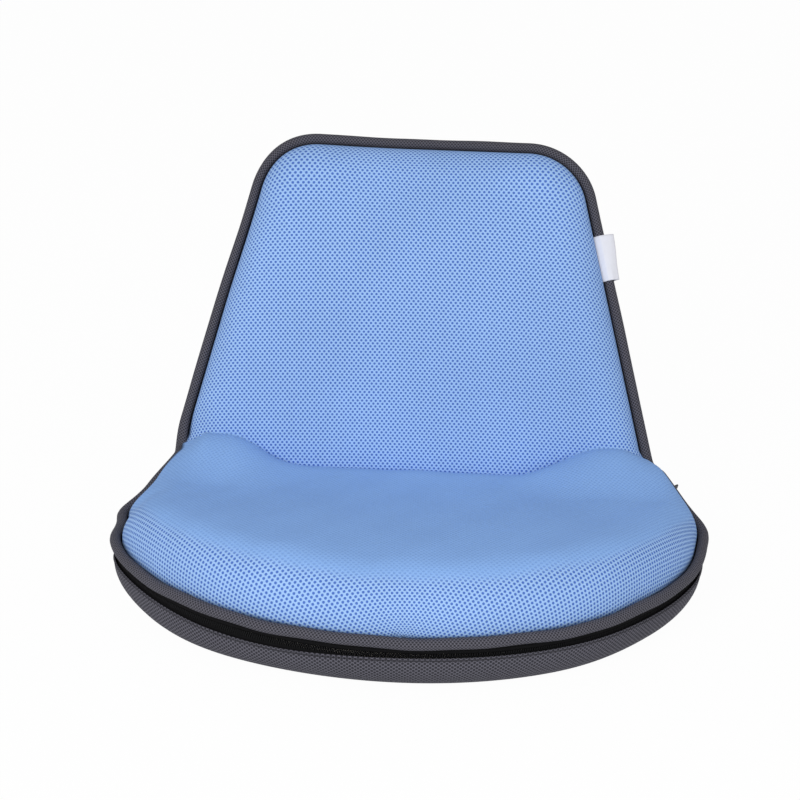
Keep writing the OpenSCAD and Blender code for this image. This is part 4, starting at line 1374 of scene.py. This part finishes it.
def stage_camera():
    """The camera, placed so that the middle of the hinge falls on its place in the frame."""
    focal = CAMERA_LENS / SENSOR * PIXELS_PER_VIEW
    yaw = Matrix.Rotation(CAMERA_YAW, 3, "Z")
    ahead = yaw @ Vector((0, math.cos(CAMERA_RISE), -math.sin(CAMERA_RISE)))
    roll = Matrix.Rotation(CAMERA_ROLL, 3, ahead)
    right = roll @ yaw @ Vector((1, 0, 0))
    above = roll @ yaw @ Vector((0, math.sin(CAMERA_RISE), math.cos(CAMERA_RISE)))
    x = (HINGE_PIXEL[0] - PIXELS_PER_VIEW / 2) / focal
    y = (PIXELS_PER_VIEW / 2 - HINGE_PIXEL[1]) / focal
    place = HINGE - CAMERA_FAR * (ahead + x * right + y * above)
    camera = add_object("Camera", bpy.data.cameras.new("Camera"))
    camera.data.lens = CAMERA_LENS
    camera.data.sensor_width = SENSOR
    camera.data.clip_end = 20
    camera.matrix_world = Matrix.Translation(place) @ Matrix((right, above, -ahead)).transposed().to_4x4()
    bpy.context.scene.camera = camera


def soft_lamp(name, place, target, size, power):
    lamp = add_object(name, bpy.data.lights.new(name, "AREA"))
    lamp.data.shape = "RECTANGLE"
    lamp.data.size, lamp.data.size_y = size
    lamp.data.energy = power
    turn = (Vector(target) - Vector(place)).to_track_quat("-Z", "Y")
    lamp.matrix_world = Matrix.Translation(Vector(place)) @ turn.to_matrix().to_4x4()


def white_floor():
    """A wide pale floor that shows white to the camera and keeps a soft shadow."""
    material = bpy.data.materials.new("Floor")
    n = fresh_nodes(material)
    diffuse = n.add("ShaderNodeBsdfDiffuse", {"Color": (0.9, 0.9, 0.9, 1)}).outputs[0]
    glow = n.add("ShaderNodeEmission", {"Color": (1, 1, 1, 1), "Strength": 1.0}).outputs[0]
    path = n.add("ShaderNodeLightPath").outputs
    seen = n.math("MAXIMUM", path["Is Camera Ray"], path["Is Glossy Ray"])
    seen = n.math("MAXIMUM", seen, path["Is Transmission Ray"])
    mix = n.add("ShaderNodeMixShader", {0: n.times(seen, FLOOR_GLOW), 1: diffuse, 2: glow})
    n.add("ShaderNodeOutputMaterial", {"Surface": mix.outputs[0]})
    bm = bmesh.new()
    bmesh.ops.create_grid(bm, x_segments=2, y_segments=2, size=30.0)
    floor = fill_mesh("Floor", bm, material)
    floor.location = (0, 0, FLOOR_Z)


def studio_world():
    """White to the camera, and softer where it lights the chair."""
    world = bpy.data.worlds.new("Studio")
    n = fresh_nodes(world)
    path = n.add("ShaderNodeLightPath").outputs
    seen = n.math("MAXIMUM", path["Is Camera Ray"], path["Is Transmission Ray"])
    strength = n.plus(WORLD_LIGHT, n.times(seen, 1 - WORLD_LIGHT))
    back = n.add("ShaderNodeBackground", {"Color": (1, 1, 1, 1), "Strength": strength})
    n.add("ShaderNodeOutputWorld", {"Surface": back.outputs[0]})
    bpy.context.scene.world = world


def stage():
    stage_camera()
    studio_world()
    white_floor()
    soft_lamp("Key", (-0.95, -2.4, 1.5), (0, 0.1, 0.1), (1.8, 1.4), 48)
    soft_lamp("Fill", (1.8, -1.6, 1.0), (0, 0.1, 0.1), (1.4, 1.2), 10)
    bpy.context.scene.view_settings.view_transform = "Standard"


# Add-on layout
class FloorChairSettings(bpy.types.PropertyGroup):
    """Sizes and colours of the covers."""

    blue: FloatVectorProperty(
        name="Blue thread",
        description="Colour of the blue mesh's threads",
        subtype="COLOR",
        default=(0.36, 0.56, 0.92),
    )
    blue_hole: FloatVectorProperty(
        name="Blue hole",
        description="Colour in the blue mesh's holes",
        subtype="COLOR",
        default=(0.07, 0.165, 0.56),
    )
    grey: FloatVectorProperty(
        name="Grey thread",
        description="Colour of the grey mesh's threads",
        subtype="COLOR",
        default=(0.125, 0.122, 0.15),
    )
    grey_hole: FloatVectorProperty(
        name="Grey hole",
        description="Colour in the grey mesh's holes",
        subtype="COLOR",
        default=(0.026, 0.026, 0.034),
    )
    hole_pitch: FloatProperty(
        name="Hole pitch",
        description="Distance between two holes in a row",
        unit="LENGTH",
        default=0.00445,
    )
    row_share: FloatProperty(name="Row share", description="Row distance over hole pitch", default=0.632)
    hole_share: FloatProperty(name="Hole share", description="Hole radius over hole pitch", default=0.24)


class CHAIR_OT_cover(bpy.types.Operator):
    """Makes the blue cover over seat, crease and back"""

    bl_idname = "chair.cover"
    bl_label = "Blue cover"

    def execute(self, context):
        blue_cover()
        return {"FINISHED"}


class CHAIR_OT_foam(bpy.types.Operator):
    """Makes the foam pads"""

    bl_idname = "chair.foam"
    bl_label = "Foam pads"

    def execute(self, context):
        foam_pads()
        return {"FINISHED"}


class CHAIR_OT_piping(bpy.types.Operator):
    """Makes the piping"""

    bl_idname = "chair.piping"
    bl_label = "Piping"

    def execute(self, context):
        piping()
        return {"FINISHED"}


class CHAIR_OT_seat_walls(bpy.types.Operator):
    """Makes the seat's side band and bottom panel"""

    bl_idname = "chair.seat_walls"
    bl_label = "Seat walls"

    def execute(self, context):
        seat_side_band()
        seat_bottom_panel()
        return {"FINISHED"}


class CHAIR_OT_back_walls(bpy.types.Operator):
    """Makes the back's side band and rear panel"""

    bl_idname = "chair.back_walls"
    bl_label = "Back walls"

    def execute(self, context):
        back_side_band()
        back_rear_panel()
        return {"FINISHED"}


class CHAIR_OT_gusset(bpy.types.Operator):
    """Makes the cloth behind the hinge"""

    bl_idname = "chair.gusset"
    bl_label = "Spine gusset"

    def execute(self, context):
        spine_gusset()
        return {"FINISHED"}


class CHAIR_OT_zipper(bpy.types.Operator):
    """Makes the zipper tapes and teeth, and finishes its slider"""

    bl_idname = "chair.zipper"
    bl_label = "Zipper"

    def execute(self, context):
        zipper()
        slider_finishes()
        return {"FINISHED"}


class CHAIR_OT_label(bpy.types.Operator):
    """Makes the plain side tag"""

    bl_idname = "chair.label"
    bl_label = "Side tag"

    def execute(self, context):
        label_tag()
        return {"FINISHED"}


class CHAIR_OT_frame(bpy.types.Operator):
    """Finishes the steel frame, the hinges and the straps"""

    bl_idname = "chair.frame"
    bl_label = "Frame and straps"

    def execute(self, context):
        frame_finishes()
        frame_straps()
        return {"FINISHED"}


class CHAIR_OT_stage(bpy.types.Operator):
    """Sets the floor, lamps and camera"""

    bl_idname = "chair.stage"
    bl_label = "Stage"

    def execute(self, context):
        stage()
        return {"FINISHED"}


OPERATORS = (
    CHAIR_OT_cover,
    CHAIR_OT_foam,
    CHAIR_OT_piping,
    CHAIR_OT_seat_walls,
    CHAIR_OT_back_walls,
    CHAIR_OT_gusset,
    CHAIR_OT_zipper,
    CHAIR_OT_label,
    CHAIR_OT_frame,
    CHAIR_OT_stage,
)


class CHAIR_PT_panel(bpy.types.Panel):
    """Lists the chair's settings and pieces"""

    bl_idname = "CHAIR_PT_panel"
    bl_label = "Floor Chair"
    bl_space_type = "VIEW_3D"
    bl_region_type = "UI"
    bl_category = "Floor Chair"

    def draw(self, context):
        look = context.scene.floor_chair
        for name in ("blue", "blue_hole", "grey", "grey_hole", "hole_pitch", "row_share", "hole_share"):
            self.layout.prop(look, name)
        for operator in OPERATORS:
            self.layout.operator(operator.bl_idname)


CLASSES = (FloorChairSettings, *OPERATORS, CHAIR_PT_panel)


def register():
    for cls in CLASSES:
        bpy.utils.register_class(cls)
    bpy.types.Scene.floor_chair = bpy.props.PointerProperty(type=FloorChairSettings)


def unregister():
    del bpy.types.Scene.floor_chair
    for cls in reversed(CLASSES):
        bpy.utils.unregister_class(cls)


def main():
    register()
    for operator in OPERATORS:
        group, name = operator.bl_idname.split(".")
        getattr(getattr(bpy.ops, group), name)()
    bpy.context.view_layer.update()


if __name__ == "__main__":
    main()
